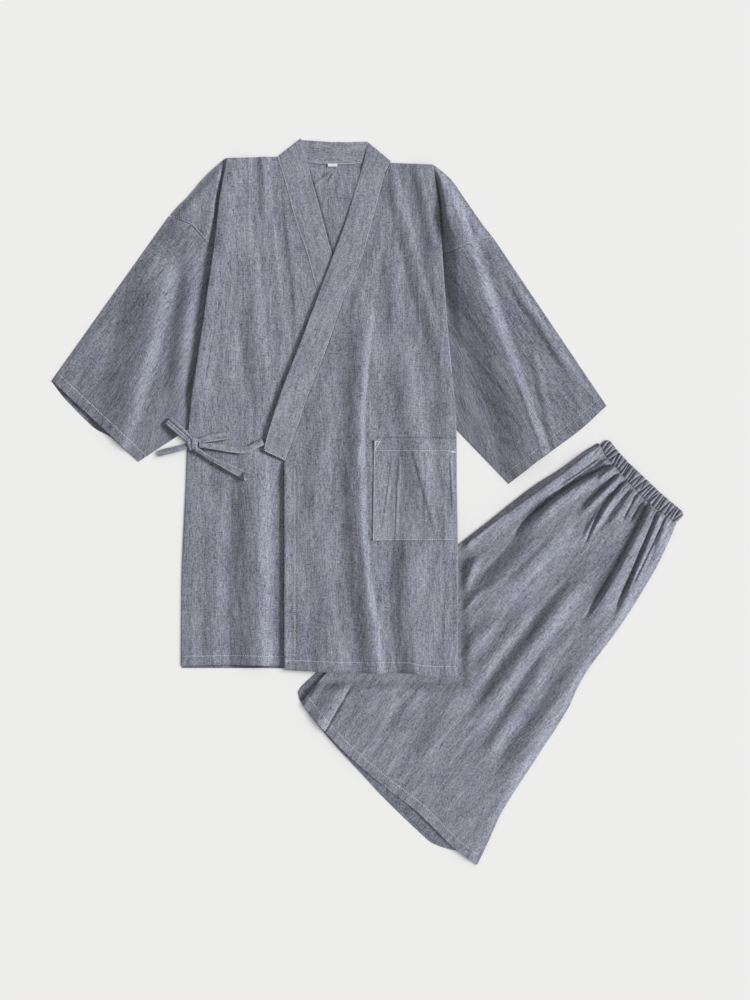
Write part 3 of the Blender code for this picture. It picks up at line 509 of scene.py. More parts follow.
cuffs = {
    "right": table(
        "t x y peek", (0, -489.5, 187.5, 1), (0.2, -462.3, 162, 7), (0.5, -421.4, 124, 9),
        (0.7, -394, 99, 2), (1, -354.9, 61.5, 0),
    ),
    "left": table(
        "t x y peek", (0, 370.6, 148.4, 0), (0.3, 325, 111, 3), (0.58, 282, 78, 2),
        (0.8, 248, 50, 0), (1, 218.4, 27.4, 0),
    ),
}
# the back's outline, out to both armhole seams at the caps
backSides = table(
    "y left right",
    (-275, -288.4, 138), (-137, -287.4, 139.5), (33, -280.4, 137.9), (108, -276.5, 136),
    (119, -267.2, 130.2), (218, -242.2, 112.2), (312, -225.2, 100.2), (376, -219.5, 98.2),
    (389, -218.4, 136.4), (395.5, -234, 150.5), (402, -249.6, 171), (410, -256.5, 193.4),
    (428, -271.8, 179), (443, -306.4, 168.5), (458, -293, 158.6), (470.4, -279.8, 150.8),
    (482.8, -269, 143.6), (495, -259, 137), (507.6, -246.8, 128.5), (520, -232.5, 115.5), (531, -218.5, 101),
)


def collarLine(side, which, count=161):
    # a collar band's seam or free edge as fine points, foot to neck
    t = np.linspace(1.0, 0.0, count)
    return soft(collarSeams[side], which + "X", t), soft(collarSeams[side], which + "Y", t)


def frontInner(side, y):
    seamX, seamY = collarLine(side, "seam")
    return np.where(y < seamY[0] - 0.5, frontEdge[side], np.interp(y, seamY, seamX))


def warped(side, x, y):
    low = soft(hems[side], "drop", x) * (1 - ease(hemY, hemY + 70.0, y))
    return y + low + soft(shoulders[side], "rise", x) * ease(440.0, 530.0, y)


# jacket fronts
frontFolds = {
    "right": foldTable(
        (-146, 540, -110, 205, -3, 11, 12, -3.2, 1, 0),
        (-163, 540, -156, 420, 0, 12, 12, 1.4, 1, 0),
        (-174, 540, -172, 430, 0, 12, 12, -1.2, 1, 0),
        (-141, 545, -145, 480, 0, 3, 5, -2.6, 1, 0),
        (-198, 470, -152, 120, 0, 34, 20, 4.6, 0, 0),
        (-205, 480, -222, 130, 0, 24, 24, 2.5, 0, 0),
        (-180, 420, -198, 120, 0, 18, 18, -1, 0, 0),
        (-170, 100, -168, -270, 0, 50, 24, 11, 0, 1),
        (-235, 50, -240, -270, 0, 24, 24, 2.5, 0, 1),
    ),
    "left": foldTable(
        (30, 530, 118, 195, 0, 18, 15, 3.4, 1, 0),
        (74, 530, 108, 375, 0, 14, 10, 1.8, 1, 0),
        (36, 400, 44, 250, 0, 18, 20, 3.2, 0, 0),
        (48, 270, 106, -52, -6, 34, 28, 6.5, 0, 0),
        (12, 410, -20, 290, 0, 16, 16, 2.5, 0, 0),
        (14, 370, 22, -270, -31, 34, 10, 8.2, 0, 1),
        (74, -20, 78, -270, -12, 30, 44, 8, 0, 1),
        (-60, 160, -90, -60, 0, 24, 24, 3, 0, 0),
        (-70, -60, -60, -270, 0, 26, 26, 2.5, 0, 1),
        (110, -80, 96, -230, 0, 16, 16, 3, 0, 0),
    ),
}
sideLift = {"right": 5.0, "left": 3.0}  # how far the body's folded edges stand up over the sleeves


def sideRise(side, y):
    return sideLift[side] * ease(armholeY, armholeY + 80.0, y) * (1 - 0.8 * ease(470.0, 525.0, y))


def overSleeve(y):
    # 1 where the body's folded edge lies on a sleeve
    return ease(armholeY - 32.0, armholeY, y)


sleeveFolds = {
    "right": foldTable(
        (-303, 392, -379, 106, 3, 62, 22, 13, 0, 1),
        (-266, 400, -300, 140, 0, 22, 14, 6, 0, 0),
        (-246, 470, -246, 400, 0, 14, 14, 1.5, 0, 0),
        (-268, 500, -284, 400, 0, 16, 10, 1.6, 0, 0),
    ),
    "left": foldTable(
        (150, 410, 272, 66, 0, 70, 15.5, 16.2, 1, 1),
        (226, 210, 276, 66, 0, 6, 9, 2.6, 0, 1),
        (206, 372, 336, 168, 0, 14, 9, 4.5, 0, 0),
        (250, 260, 288, 92, 0, 10, 8, 2.4, 0, 1),
        (116, 520, 128, 430, 0, 10, 9, 4, 0, 0),
    ),
}
armEnds = {"right": 444.0, "left": 411.0}  # height on the chart of each armhole's outer end


def sleeveForm(side, x, y):
    # rise of a sleeve and of the shoulder's cap, from the body's folded edge outwards
    reach, outer = sides[side]
    outside = reach * (x - straight(body, outer, y))
    folds = foldHeight(sleeveFolds[side], x, y) * (1 - 0.7 * ease(410.0, 500.0, y))
    puffed = 3.6 * ease(385.0, 430.0, y) * (1 - 0.7 * ease(495.0, 530.0, y))
    return ease(1.0, 20.0 - 11.0 * ease(400.0, 450.0, y), outside) * lifted(2.0 + puffed + folds)


fronts = {
    "columns": 112, "rowStep": 3.0, "foldSteps": 9, "tuckSteps": 5,
    "hemDepth": 15.0, "hemRoll": 1.3, "facing": 16.5, "edgeCurl": 2.2,
    "mouth": 97.6, "mouthDip": 1.6,  # the dent in the left front above the pocket
    "capFoot": 379.0, "capColumns": 48, "capRise": 0.3,
    "wrinkle": (0.55, 15, 70), "crease": (0.5, 34, 150),  # how high, and how wide and long
    "rest": {"right": 1.6, "left": 1.8}, "seeds": {"right": (11, 31), "left": (23, 37)},
}


def frontHeight(side, x, y):
    # middle of a front's upper layer
    reach, outer = sides[side]
    inner = reach * (x - frontInner(side, y))
    fromEdge = reach * (straight(body, outer, y) - x)
    edge = folded * (1 + overSleeve(y)) * (1 - ease(2.0, 48.0, fromEdge))
    edge = edge + sideRise(side, y) * (1 - ease(4.0, 34.0, fromEdge))
    if side == "right":
        clear = ease(4.0, 32.0, straight(cover, "edge", y) - x) * (0.35 + 0.65 * ease(0.0, 22.0, inner))
        wrap = 0.0
    else:
        wrap = layers["overWrap"] * (1 - ease(1.0, 34.0, x - straight(wrapped, "edge", y)))
        wrap = wrap + fronts["edgeCurl"] * (1 - ease(0.0, 13.0, inner)) * (1 - ease(40.0, 62.0, y))
        clear = 0.25 + 0.75 * ease(0.0, 24.0, inner)
    fine = fineFolds(fronts, x, y, *fronts["seeds"][side])
    form = lifted(fronts["rest"][side] + fine + foldHeight(frontFolds[side], x, y)) * ease(0.0, 20.0, fromEdge)
    return ground(x, y) * layers["slopeRoom"] + layers["first"] + wrap + edge + clear * form


def frontTrim(side, x, y, inner):
    # the hem along the foot and, on the left front, the facing stitched down its edge
    hem = hemRelief(y - hemY, x, fronts["hemDepth"], 41) - fronts["hemRoll"] * (1 - ease(0.0, 3.2, y - hemY))
    if side == "left":
        hem = hem + hemRelief(inner, y, fronts["facing"], 43) * (1 - ease(40.0, 58.0, y))
        hem = hem - fronts["mouthDip"] * bump(y, fronts["mouth"], 1.3) * ease(8.0, 12.0, x)
    return hem * ease(0.0, 3.0, inner)


def frontRows():
    # close rows at the hem, above the pocket and over the shoulder
    hem, shoulder = np.linspace(hemY, hemY + 24.0, 17), np.linspace(402.0, 530.0, 46)
    mouth = np.linspace(fronts["mouth"] - 3.3, fronts["mouth"] + 2.7, 7)
    return np.sort(np.concatenate([hem, np.arange(hemY + 27.0, 400.5, fronts["rowStep"]), shoulder, mouth]))


def makeFront(side):
    reach, outer = sides[side]
    angles = np.linspace(math.pi / 2, -math.pi / 2, fronts["foldSteps"])
    bendX, bendZ = reach * layers["bend"] * np.cos(angles), layers["bend"] * np.sin(angles)
    grid, flat, cap, capFlat = [], [], [], []
    for y in frontRows():
        turn = soft(body, outer, y) - reach * edgeInset
        tucked = turn - reach * soft(body, outer + "Under", y)
        inner = frontInner(side, warped(side, frontInner(side, y), y)) + reach * layers["seam"]
        across = np.linspace(inner, turn, fronts["columns"])[:-1]
        base = ground(turn, y) * layers["slopeRoom"] + layers["first"] + folded * overSleeve(y)
        base = base + sideRise(side, y)
        z = frontHeight(side, across, y) + frontTrim(side, across, y, reach * (across - inner))
        under = turn + (tucked - turn) * np.linspace(0.2, 1.0, fronts["tuckSteps"])
        x = np.concatenate([across, turn + bendX, under])
        z = np.concatenate([z, base + layers["bend"] + bendZ, np.full_like(under, base)])
        grid.append(pointRow(x, warped(side, x, y), z))
        flat.append(pointRow(runLength(np.hypot(np.diff(x), np.diff(z))) + reach * inner, y))
        if y >= fronts["capFoot"]:
            across = np.linspace(straight(backSides, outer, y), tucked, fronts["capColumns"])
            outline = straight(backSides, outer, max(y, armEnds[side]))
            rise = ease(0.0, 20.0, abs(outline - across)) * sleeveForm(side, across, y)
            rise = rise - sideRise(side, y) * ease(0.0, 7.0, abs(across - tucked)) + fronts["capRise"]
            x = np.concatenate([across[:-1], tucked - bendX])
            z = np.concatenate([(base - folded + rise)[:-1], base - layers["bend"] - bendZ])
            cap.append(pointRow(x, warped(side, x, y), z))
            capFlat.append(pointRow(x + 500.0, y))
    pieces = [addGrid("front_" + side + "_cloth", grid, flat), addGrid("cap", cap, capFlat)]
    return giveWall(weld(joinPieces(pieces)), layers["wall"], rim=0.3)


frontRight = place(makeFront("right"), finishes["body"], "cloth", "front_right")
frontLeft = place(makeFront("left"), finishes["body"], "cloth", "front_left")
print("fronts laid")

# jacket back, with fine rows and columns where it shows inside the neck
back = {"neck": (-105.0, 2.0), "neckColumns": 84, "rowStep": 10.0, "wrinkle": (0.35, 16, 40), "rise": 1.3}
backFolds = foldTable(
    (-52, 521, -62, 498, 0, 1.5, 6, 1.7, 1, 0),
    (-52, 521, -92, 482, 0, 7, 1.5, 1.9, 1, 0),
)


def makeBack():
    start, end = back["neck"]
    high, *size = back["wrinkle"]
    low, middle = np.arange(hemY, 376.0, back["rowStep"]), np.linspace(378.0, 480.0, 38)[:-1]
    grid, flat = [], []
    for y in np.concatenate([low, middle, np.linspace(480.0, 531.0, 44)]):
        left, right = straight(backSides, "left", y), straight(backSides, "right", y)
        x = np.concatenate([np.linspace(left, start, 26)[:-1], np.linspace(start, end, back["neckColumns"]),
                            np.linspace(end, right, 20)[1:]])
        rise = soft(backTop, "rise", x) * ease(450.0, 531.0, y)
        foot = (straight(hems["left"], "drop", x) + 2.5) * (1 - ease(-255.0, -190.0, y))
        bandX = np.interp(y, *collarLine("right", "free")[::-1])
        inNeck = ease(0.0, 3.6, x - bandX) * ease(0, -14, x) * ease(370, 400, y) * ease(524.0, 518.0, y)
        yPlace = y + rise + foot
        fine = high * (1 + crumple(x, yPlace, *size, 51))
        relief = inNeck * (back["rise"] + fine + foldHeight(backFolds, x, y))
        grid.append(pointRow(x, yPlace, ground(x, yPlace) + layers["floor"] + relief))
        flat.append(pointRow(x, yPlace))
    return makeCloth("jacket_back_cloth", grid, flat, layers["wall"])


jacketBack = place(makeBack(), finishes["inside"], "cloth", "jacket_back")

# sleeves: flattened tubes from the armhole seam to the cuff
sleeves = {
    "rings": 112, "cuffRings": 24, "hemDepth": 15.0, "settled": 0.4,
    "size": (240, 330), "step": 0.0115,  # the flat cloth round and along, and the share of a step round it
    "wrinkle": (0.55, 17, 75), "crease": (0.5, 36, 130), "seeds": {"right": (61, 71), "left": (67, 73)},
}


def sleevePlaces(arm):
    # places round the front layer: each corner of the armhole seam, and even steps between them
    places = [np.zeros(1)]
    for start, end in zip(arm["key"], arm["key"][1:]):
        places.append(np.linspace(start, end, max(2, round((end - start) / sleeves["step"])))[1:])
    return np.concatenate(places)


def sleeveEnds(side, t):
    arm, cuff = armholes[side], cuffs[side]
    return straight(arm, "x", t), straight(arm, "y", t), soft(cuff, "x", t), soft(cuff, "y", t)


def tubeRing(upper, lower):
    # joins an upper and a lower layer round their two folded edges
    ring = []
    for half, points in ((0.0, upper), (180.0, lower[::-1])):
        first, last = points[0] - points[1], points[-1] - points[-2]
        first[2] = last[2] = 0.0
        first, last = first / np.linalg.norm(first), last / np.linalg.norm(last)
        rim = points.copy()
        rim[0] -= first * edgeInset
        rim[-1] -= last * edgeInset
        ring.extend(rim)
        for a in np.radians(np.linspace(0, 180, 9)[1:-1] + half):
            x, y = (rim[-1] + last * layers["bend"] * abs(math.sin(a)))[:2]
            ring.append((x, y, layers["floor"] + layers["bend"] * (1 + math.cos(a))))
    return np.array(ring)


def makeSleeve(side):
    reach, _ = sides[side]
    t = sleevePlaces(armholes[side])
    armX, armY, cuffX, cuffY = sleeveEnds(side, t)
    length = np.hypot(cuffX - armX, cuffY - armY)
    fromEdges = ease(0.0, 0.07, t) * ease(0.0, 0.1, 1 - t)
    wide, long = sleeves["size"]
    upTo = np.linspace(0, 0.9, sleeves["rings"] - sleeves["cuffRings"])[:-1]
    rings, flats = [], []
    for along in np.concatenate([upTo, np.linspace(0.9, 1.0, sleeves["cuffRings"] + 1)]):
        x = armX * (1 - along) + cuffX * along + reach * 0.2 * (1 - along)
        y = armY * (1 - along) + cuffY * along - 0.3 * (1 - along)
        fine = fineFolds(sleeves, t * wide, along * long, *sleeves["seeds"][side])
        settled = 1 - sleeves["settled"] * ease(0.72, 1.0, along)
        form = fromEdges * (sleeveForm(side, x, y) * settled + fine * ease(0.0, 0.12, along))
        hem = hemRelief((1 - along) * length, t * wide, sleeves["hemDepth"], 79) * fromEdges
        peek = soft(cuffs[side], "peek", t) * along**6  # the back layer a little past the front one
        lower = pointRow(x + reach * peek * 0.55, y - peek * 0.83, layers["floor"])
        ring = tubeRing(pointRow(x, y, layers["floor"] + folded + form + hem), lower)
        spread = runLength(np.hypot(*np.diff(ring[:, :2], axis=0).T))
        rings.append(np.vstack([ring, ring[:1]]))
        flats.append(pointRow(np.append(spread, spread[-1] + 1), along * long))
    return makeCloth("sleeve_" + side + "_cloth", rings, flats, layers["wall"], rim=0.3, tube=True)


sleeveRight = place(makeSleeve("right"), finishes["sleeve"], "cloth", "sleeve_right")
sleeveLeft = place(makeSleeve("left"), finishes["sleeve"], "cloth", "sleeve_left")
print("back and sleeves laid")

# collar bands
bandCurl = table("t rise", (0, 0), (0.3, 0), (0.5, 1), (0.8, 3), (0.94, 3.2), (1, 1.4))
collar = {
    "rows": {"right": 170, "left": 190}, "columns": 18, "crown": 0.5, "edge": 2.4,
    "join": 0.7, "joinAt": 508.5, "seeds": {"right": 83, "left": 89},
}


def bandRelief(q, along, wide, seed):
    # a doubled band: crowned, a groove along the stitches near its seam and small puckers
    groove = 0.4 * bump(q * wide, collar["edge"], 1.1)
    pucker = 0.25 * noiseAt(along / 6, q * 2, seed) * (1 - ease(0.0, 0.5, q))
    soften = 0.3 * noiseAt(along / 38, q * 1.5, seed + 1)
    return collar["crown"] * np.sin(np.pi * q) - groove + pucker + soften


def bandEdgesAt(side, t):
    # points of a band's seam and of its free edge
    return tuple(soft(collarSeams[side], name, t) for name in ("seamX", "seamY", "freeX", "freeY"))


def makeCollar(side):
    q = np.linspace(0.0, 1.0, collar["columns"])
    t = np.linspace(1.0, 0.0, collar["rows"][side])
    seamX, seamY, freeX, freeY = bandEdgesAt(side, t)
    wide = np.hypot(freeX - seamX, freeY - seamY)
    along = runLength(np.hypot(np.diff(seamX), np.diff(seamY)))
    grid, flat = [], []
    for i in range(len(t)):
        x, y = seamX[i] + (freeX[i] - seamX[i]) * q, seamY[i] + (freeY[i] - seamY[i]) * q
        lift = 0.0 if side == "right" else layers["collarLift"] * ease(0.12, 0.3, t[i])
        level = layers["cadWall"] + layers["overSeam"] + lift
        z = ground(x, y) + level + bandRelief(q, along[i], wide[i], collar["seeds"][side])
        if side == "left":
            z = z + soft(bandCurl, "rise", t[i]) * q * q
            z = z - collar["join"] * bump(y, collar["joinAt"], 1.1)
        grid.append(pointRow(x, y, z))
        flat.append(pointRow(q * wide[i], along[i]))
    step = -1 if side == "left" else 1  # the left band's rows run the other way, so that it faces up
    return makeCloth("collar_" + side + "_band", np.array(grid)[:, ::step], np.array(flat)[:, ::step],
                     layers["band"], rim=0.5)


# the stand behind the neck, whose end at -X goes in under the right band
neck = table("q lowX lowY highX highY", (0, -96, 525.4, -104.7, 560.4), (0.25, -70.5, 523, -76.3, 558.3),
             (0.5, -49.3, 521.8, -50.7, 557.1), (0.75, -28.1, 522.4, -25.1, 557), (1, -6.9, 524.2, 0.5, 557.8))
stand = {"level": 0.9, "crown": 0.35, "overBack": 1.05, "fold": 2.2, "foldAt": 0.2, "foldWide": 0.075}


def makeCollarBack():
    q = np.linspace(0.0, 1.0, 40)
    clear = ease(0.02, 0.1, q)
    grid, flat = [], []
    for h in np.linspace(0.0, 1.0, 16):
        x = soft(neck, "lowX", q) * (1 - h) + soft(neck, "highX", q) * h
        y = soft(neck, "lowY", q) * (1 - h) + soft(neck, "highY", q) * h
        z = stand["level"] + stand["crown"] * math.sin(math.pi * h) * (1 + noiseAt(q * 6, h * 2, 97)) * clear
        z = z + stand["overBack"] * (1 - ease(0.0, 0.16, h)) * clear * ease(0.02, 0.06, 1 - q)
        z = z + stand["fold"] * bump(q, stand["foldAt"], stand["foldWide"]) * ease(0.2, 0.8, h)
        grid.append(pointRow(x, y, z))
        flat.append(pointRow(h * 35, q * 100))
    return makeCloth("collar_back_band", grid, flat, layers["band"], rim=0.5)


collarRight = place(makeCollar("right"), finishes["band"], "band", "collar_right")
collarLeft = place(makeCollar("left"), finishes["band"], "band", "collar_left")
collarBack = place(makeCollarBack(), finishes["band"], "band", "collar_back")

# patch pocket, laid on the left front
pocket = {"left": (9.6, 7.6), "right": (137.0, 138.0), "low": -60.8, "high": 95.2, "clear": 1.25,
          "hemDepth": 16.5, "mouth": 0.5, "wrinkle": (0.3, 12, 40), "columns": 140, "rows": 64}
pocketFolds = foldTable(
    (40, 80, 21, -56, 0, 2.2, 5, 0.9, 0, 0),
    (49.5, 84, 43.8, -64, 0, 2.2, 5, 0.8, 0, 0),
    (70, 82, 110, -62, 0, 4.5, 11, 1.1, 1, 0),
    (127.5, 84, 132.5, -30, 0, 2.2, 4, 1.3, 0, 0),
)


def frontNormal(x, y, step=0.5):
    slopeX = (frontHeight("left", x + step, y) - frontHeight("left", x - step, y)) / (2 * step)
    slopeY = (frontHeight("left", x, y + step) - frontHeight("left", x, y - step)) / (2 * step)
    length = np.sqrt(slopeX**2 + slopeY**2 + 1)
    return pointRow(-slopeX, -slopeY, 1.0) / length[..., None]


def makePocket():
    high, *size = pocket["wrinkle"]
    (leftHigh, leftLow), (rightHigh, rightLow) = pocket["left"], pocket["right"]
    grid, flat = [], []
    for y in np.linspace(pocket["low"], pocket["high"], pocket["rows"]):
        q = (y - pocket["low"]) / (pocket["high"] - pocket["low"])
        start, end = leftLow + (leftHigh - leftLow) * q, rightLow + (rightHigh - rightLow) * q
        x = np.linspace(start, end, pocket["columns"])
        fromTop = pocket["high"] - y
        own = foldHeight(pocketFolds, x, y) * ease(14.0, 20.0, fromTop)
        own = own + high * crumple(x, y, *size, 101)
        own = own * ease(0.0, 5.0, x - start) * ease(0.0, 5.0, end - x) * ease(0.0, 6.0, y - pocket["low"])
        hem = hemRelief(fromTop, x, pocket["hemDepth"], 103)
        mouth = pocket["mouth"] * ease(9.0, 0.0, fromTop)
        out = pocket["clear"] + np.maximum(own, -0.2) + np.maximum(hem, -0.1) + mouth
        grid.append(pointRow(x, y, frontHeight("left", x, y)) + frontNormal(x, y) * out[:, None])
        flat.append(pointRow(x + 700.0, y))
    return makeCloth("patch_pocket", grid, flat, layers["wall"], rim=0.3)


patch = place(makePocket(), finishes["patch"], "cloth", "pocket")
print("collar and pocket laid")

# woven tape label at the back of the neck
label = {"left": -61.8, "low": 518.8, "wide": 15.0, "high": 4.8, "wall": 0.5, "lift": 2.5, "wave": (0.25, 0.12)}


def makeLabel():
    x, y = np.meshgrid(np.linspace(0, 1, 25), np.linspace(0, 1, 9))
    arch, ripple = label["wave"]
    z = label["lift"] + arch * np.sin(np.pi * x) * (1 - y) + ripple * np.sin(9 * x + 2 * y)
    places = pointRow(label["left"] + label["wide"] * x, label["low"] + label["high"] * y, z)
    return makeCloth("neck_label", places, places[:, :, :2], label["wall"], rim=0.12)


neckLabel = place(makeLabel(), finishes["tape"], "white_cotton", "label")

# ties: narrow cloth tubes pressed flat, and the knot that wraps them
tie = {"thick": 3.3, "wall": 0.45, "rows": 44, "ring": 30, "curl": 3.5, "mouth": 7.5, "slant": 4.5,
       "pucker": 0.14, "around": 20}
tieLip = ((0.9, -0.3), (0.78, 0.0), (0.7, 1.5), (0.62, 4.0))  # the open end turned in: its size and how deep
tieRoutes = {
    "strap": table(
        "t x y z wide roll", (0, -161.6, 92.6, 6.8, 10, 0), (0.12, -173, 87.2, 8, 10, 10),
        (0.25, -184, 81.6, 8.4, 9.6, 14), (0.4, -195, 78.9, 8.3, 10, 12), (0.6, -213, 81, 8.4, 10, 8),
        (0.8, -236, 84.8, 8.8, 9, 6), (1, -260.6, 87, 9.8, 7.5, 0),
    ),
    "tail_upper": table(
        "t x y z wide roll", (0, -261.4, 93.4, 10.4, 6.5, 0), (0.4, -245, 97.4, 10.4, 10.5, 4),
        (1, -212.2, 102.8, 9.8, 12.5, 6),
    ),
    "tail_lower": table(
        "t x y z wide roll", (0, -265, 81, 10.2, 6.5, 0), (0.35, -245, 67.6, 9.8, 6.5, 16),
        (0.55, -228, 59.4, 9.6, 8.4, 10), (0.8, -203, 46.6, 9.8, 12, 4), (1, -184.5, 37.6, 10.4, 13.4, 0),
    ),
    "loop": table(
        "t x y z wide roll", (0, -273, 93.4, 10.6, 10, 0), (0.22, -290, 109.2, 10.4, 13.5, 0),
        (0.42, -304, 121.2, 9.8, 14.2, 0), (0.5, -308.4, 125, 8.4, 14.2, 0), (0.58, -304, 121.2, 7, 13.6, 0),
        (0.78, -290, 109.2, 7.2, 12.5, 0), (1, -273, 93.4, 8.2, 9, 0),
    ),
    "tail_left": table(
        "t x y z wide roll", (0, -274.9, 87.4, 10, 7, 0), (0.45, -297, 80.9, 9, 9.2, 20),
        (0.8, -316, 76.4, 7.8, 9.6, 24), (1, -325.2, 73.6, 7, 8.6, 20),
    ),
}
tieGrooves = {  # lengthwise creases: place across from -1 to 1, depth, width
    "strap": ((0.3, 0.25, 0.25),),
    "tail_upper": ((-0.62, 0.25, 0.2),),
    "tail_lower": ((0.15, 0.4, 0.3), (-0.55, 0.25, 0.2)),
    "loop": ((-0.2, 0.8, 0.13), (0.5, 0.7, 0.12)),
    "tail_left": ((0.1, 0.5, 0.2),),
}
knot = {"rows": 14, "ring": 40, "taper": 0.35, "fold": 0.1}
knotWraps = table(
    "x y z long wide high turn", (-268, 89.2, 10.3, 5.4, 9.2, 4.2, -6), (-275.6, 88.8, 10, 3, 9.8, 3.6, 16),
)


def flattened(value, power):
    # a sine or cosine made fuller, so that a ring is nearer to a flat tube
    return np.sign(value) * np.abs(value) ** power


def unit(vectors):
    return vectors / np.linalg.norm(vectors, axis=1, keepdims=True)


def makeTie(name, route):
    a = np.linspace(0, 2 * math.pi, tie["ring"] + 1)
    across, rise = flattened(np.cos(a), 0.7), flattened(np.sin(a), 0.8)
    for at, depth, wide in tieGrooves[name]:
        rise = rise - np.where(np.sin(a) > 0, depth * bump(across, at, wide), 0.0)
    t = np.linspace(0.0, 1.0, tie["rows"])
    middle = pointRow(*(soft(route, axis, t) for axis in "xyz"))
    opening = ease(0.86, 1.0, t) if name == "tail_lower" else 0 * t  # one rolled end turns up and stands open
    middle[:, 2] += tie["curl"] * opening * opening
    ahead = unit(np.gradient(middle, axis=0))
    heading = ahead[:1] if name == "loop" else ahead
    sideways = unit(pointRow(-heading[:, 1], heading[:, 0], 0 * t))
    up = np.cross(ahead, sideways)
    roll = np.radians(soft(route, "roll", t))[:, None]
    sideways, up = sideways * np.cos(roll) + up * np.sin(roll), up * np.cos(roll) - sideways * np.sin(roll)
    wide = soft(route, "wide", t) / 2
    length = runLength(np.linalg.norm(np.diff(middle, axis=0), axis=1))
    grid, flat = [], []
    for i in range(tie["rows"]):
        pucker = tie["pucker"] * noiseAt(length[i] / 5 + across, across * 2, 107) * (1 - opening[i])
        high = tie["thick"] / 2 * rise * (1 - opening[i]) + tie["mouth"] / 2 * np.sin(a) * opening[i] + pucker
        ring = middle[i] + sideways[i] * (wide[i] * across)[:, None] + up[i] * high[:, None]
        ring = ring - ahead[i] * (tie["slant"] * opening[i] * (1 + np.sin(a)) / 2)[:, None]
        ring[-1] = ring[0]
        grid.append(ring)
        flat.append(pointRow(a / (2 * math.pi) * tie["around"], length[i]))
    if opening[-1]:
        lip, centre = grid[-1], grid[-1][:-1].mean(axis=0)
        for size, deep in tieLip:
            grid.append(centre + (lip - centre) * size - ahead[-1] * deep)
            flat.append(flat[-1] + (0.0, 1.2))
    return makeCloth("tie_" + name + "_cloth", grid, flat, tie["wall"], tube=True), length[-1]


def makeKnot():
    wraps = []
    a = np.linspace(0, 2 * math.pi, knot["ring"] + 1)
    for row in rowsOf(knotWraps):
        cos, sin = math.cos(math.radians(row["turn"])), math.sin(math.radians(row["turn"]))
        grid, flat = [], []
        for q in np.linspace(-1, 1, knot["rows"]):
            fold = 1 - knot["fold"] * bump(q, 0.25 + 0.2 * np.sin(a), 0.16)
            size = (1 - knot["taper"] * abs(q) ** 5) * fold
            along, y = row["long"] * q, row["wide"] * flattened(np.cos(a), 0.8) * size
            ring = pointRow(row["x"] + along * cos - y * sin, row["y"] + along * sin + y * cos,
                            row["z"] + row["high"] * np.sin(a) * size)
            ring[-1] = ring[0]
            grid.append(ring)
            flat.append(pointRow(a * 6, along))
        wraps.append(addGrid("tie_knot_cloth", grid, flat))
    return giveWall(weld(joinPieces(wraps)), tie["wall"])


# the ties and the knot use the lighter tie cloth: a painted highlight on the same chambray
ties, tieLengths = {}, {}
for name, route in tieRoutes.items():
    piece, tieLengths[name] = makeTie(name, route)
    ties[name] = place(piece, finishes["tie"], "band", "tie_" + name)
tieKnot = place(makeKnot(), finishes["tie"], "band", "tie_knot")
print("label and ties laid")

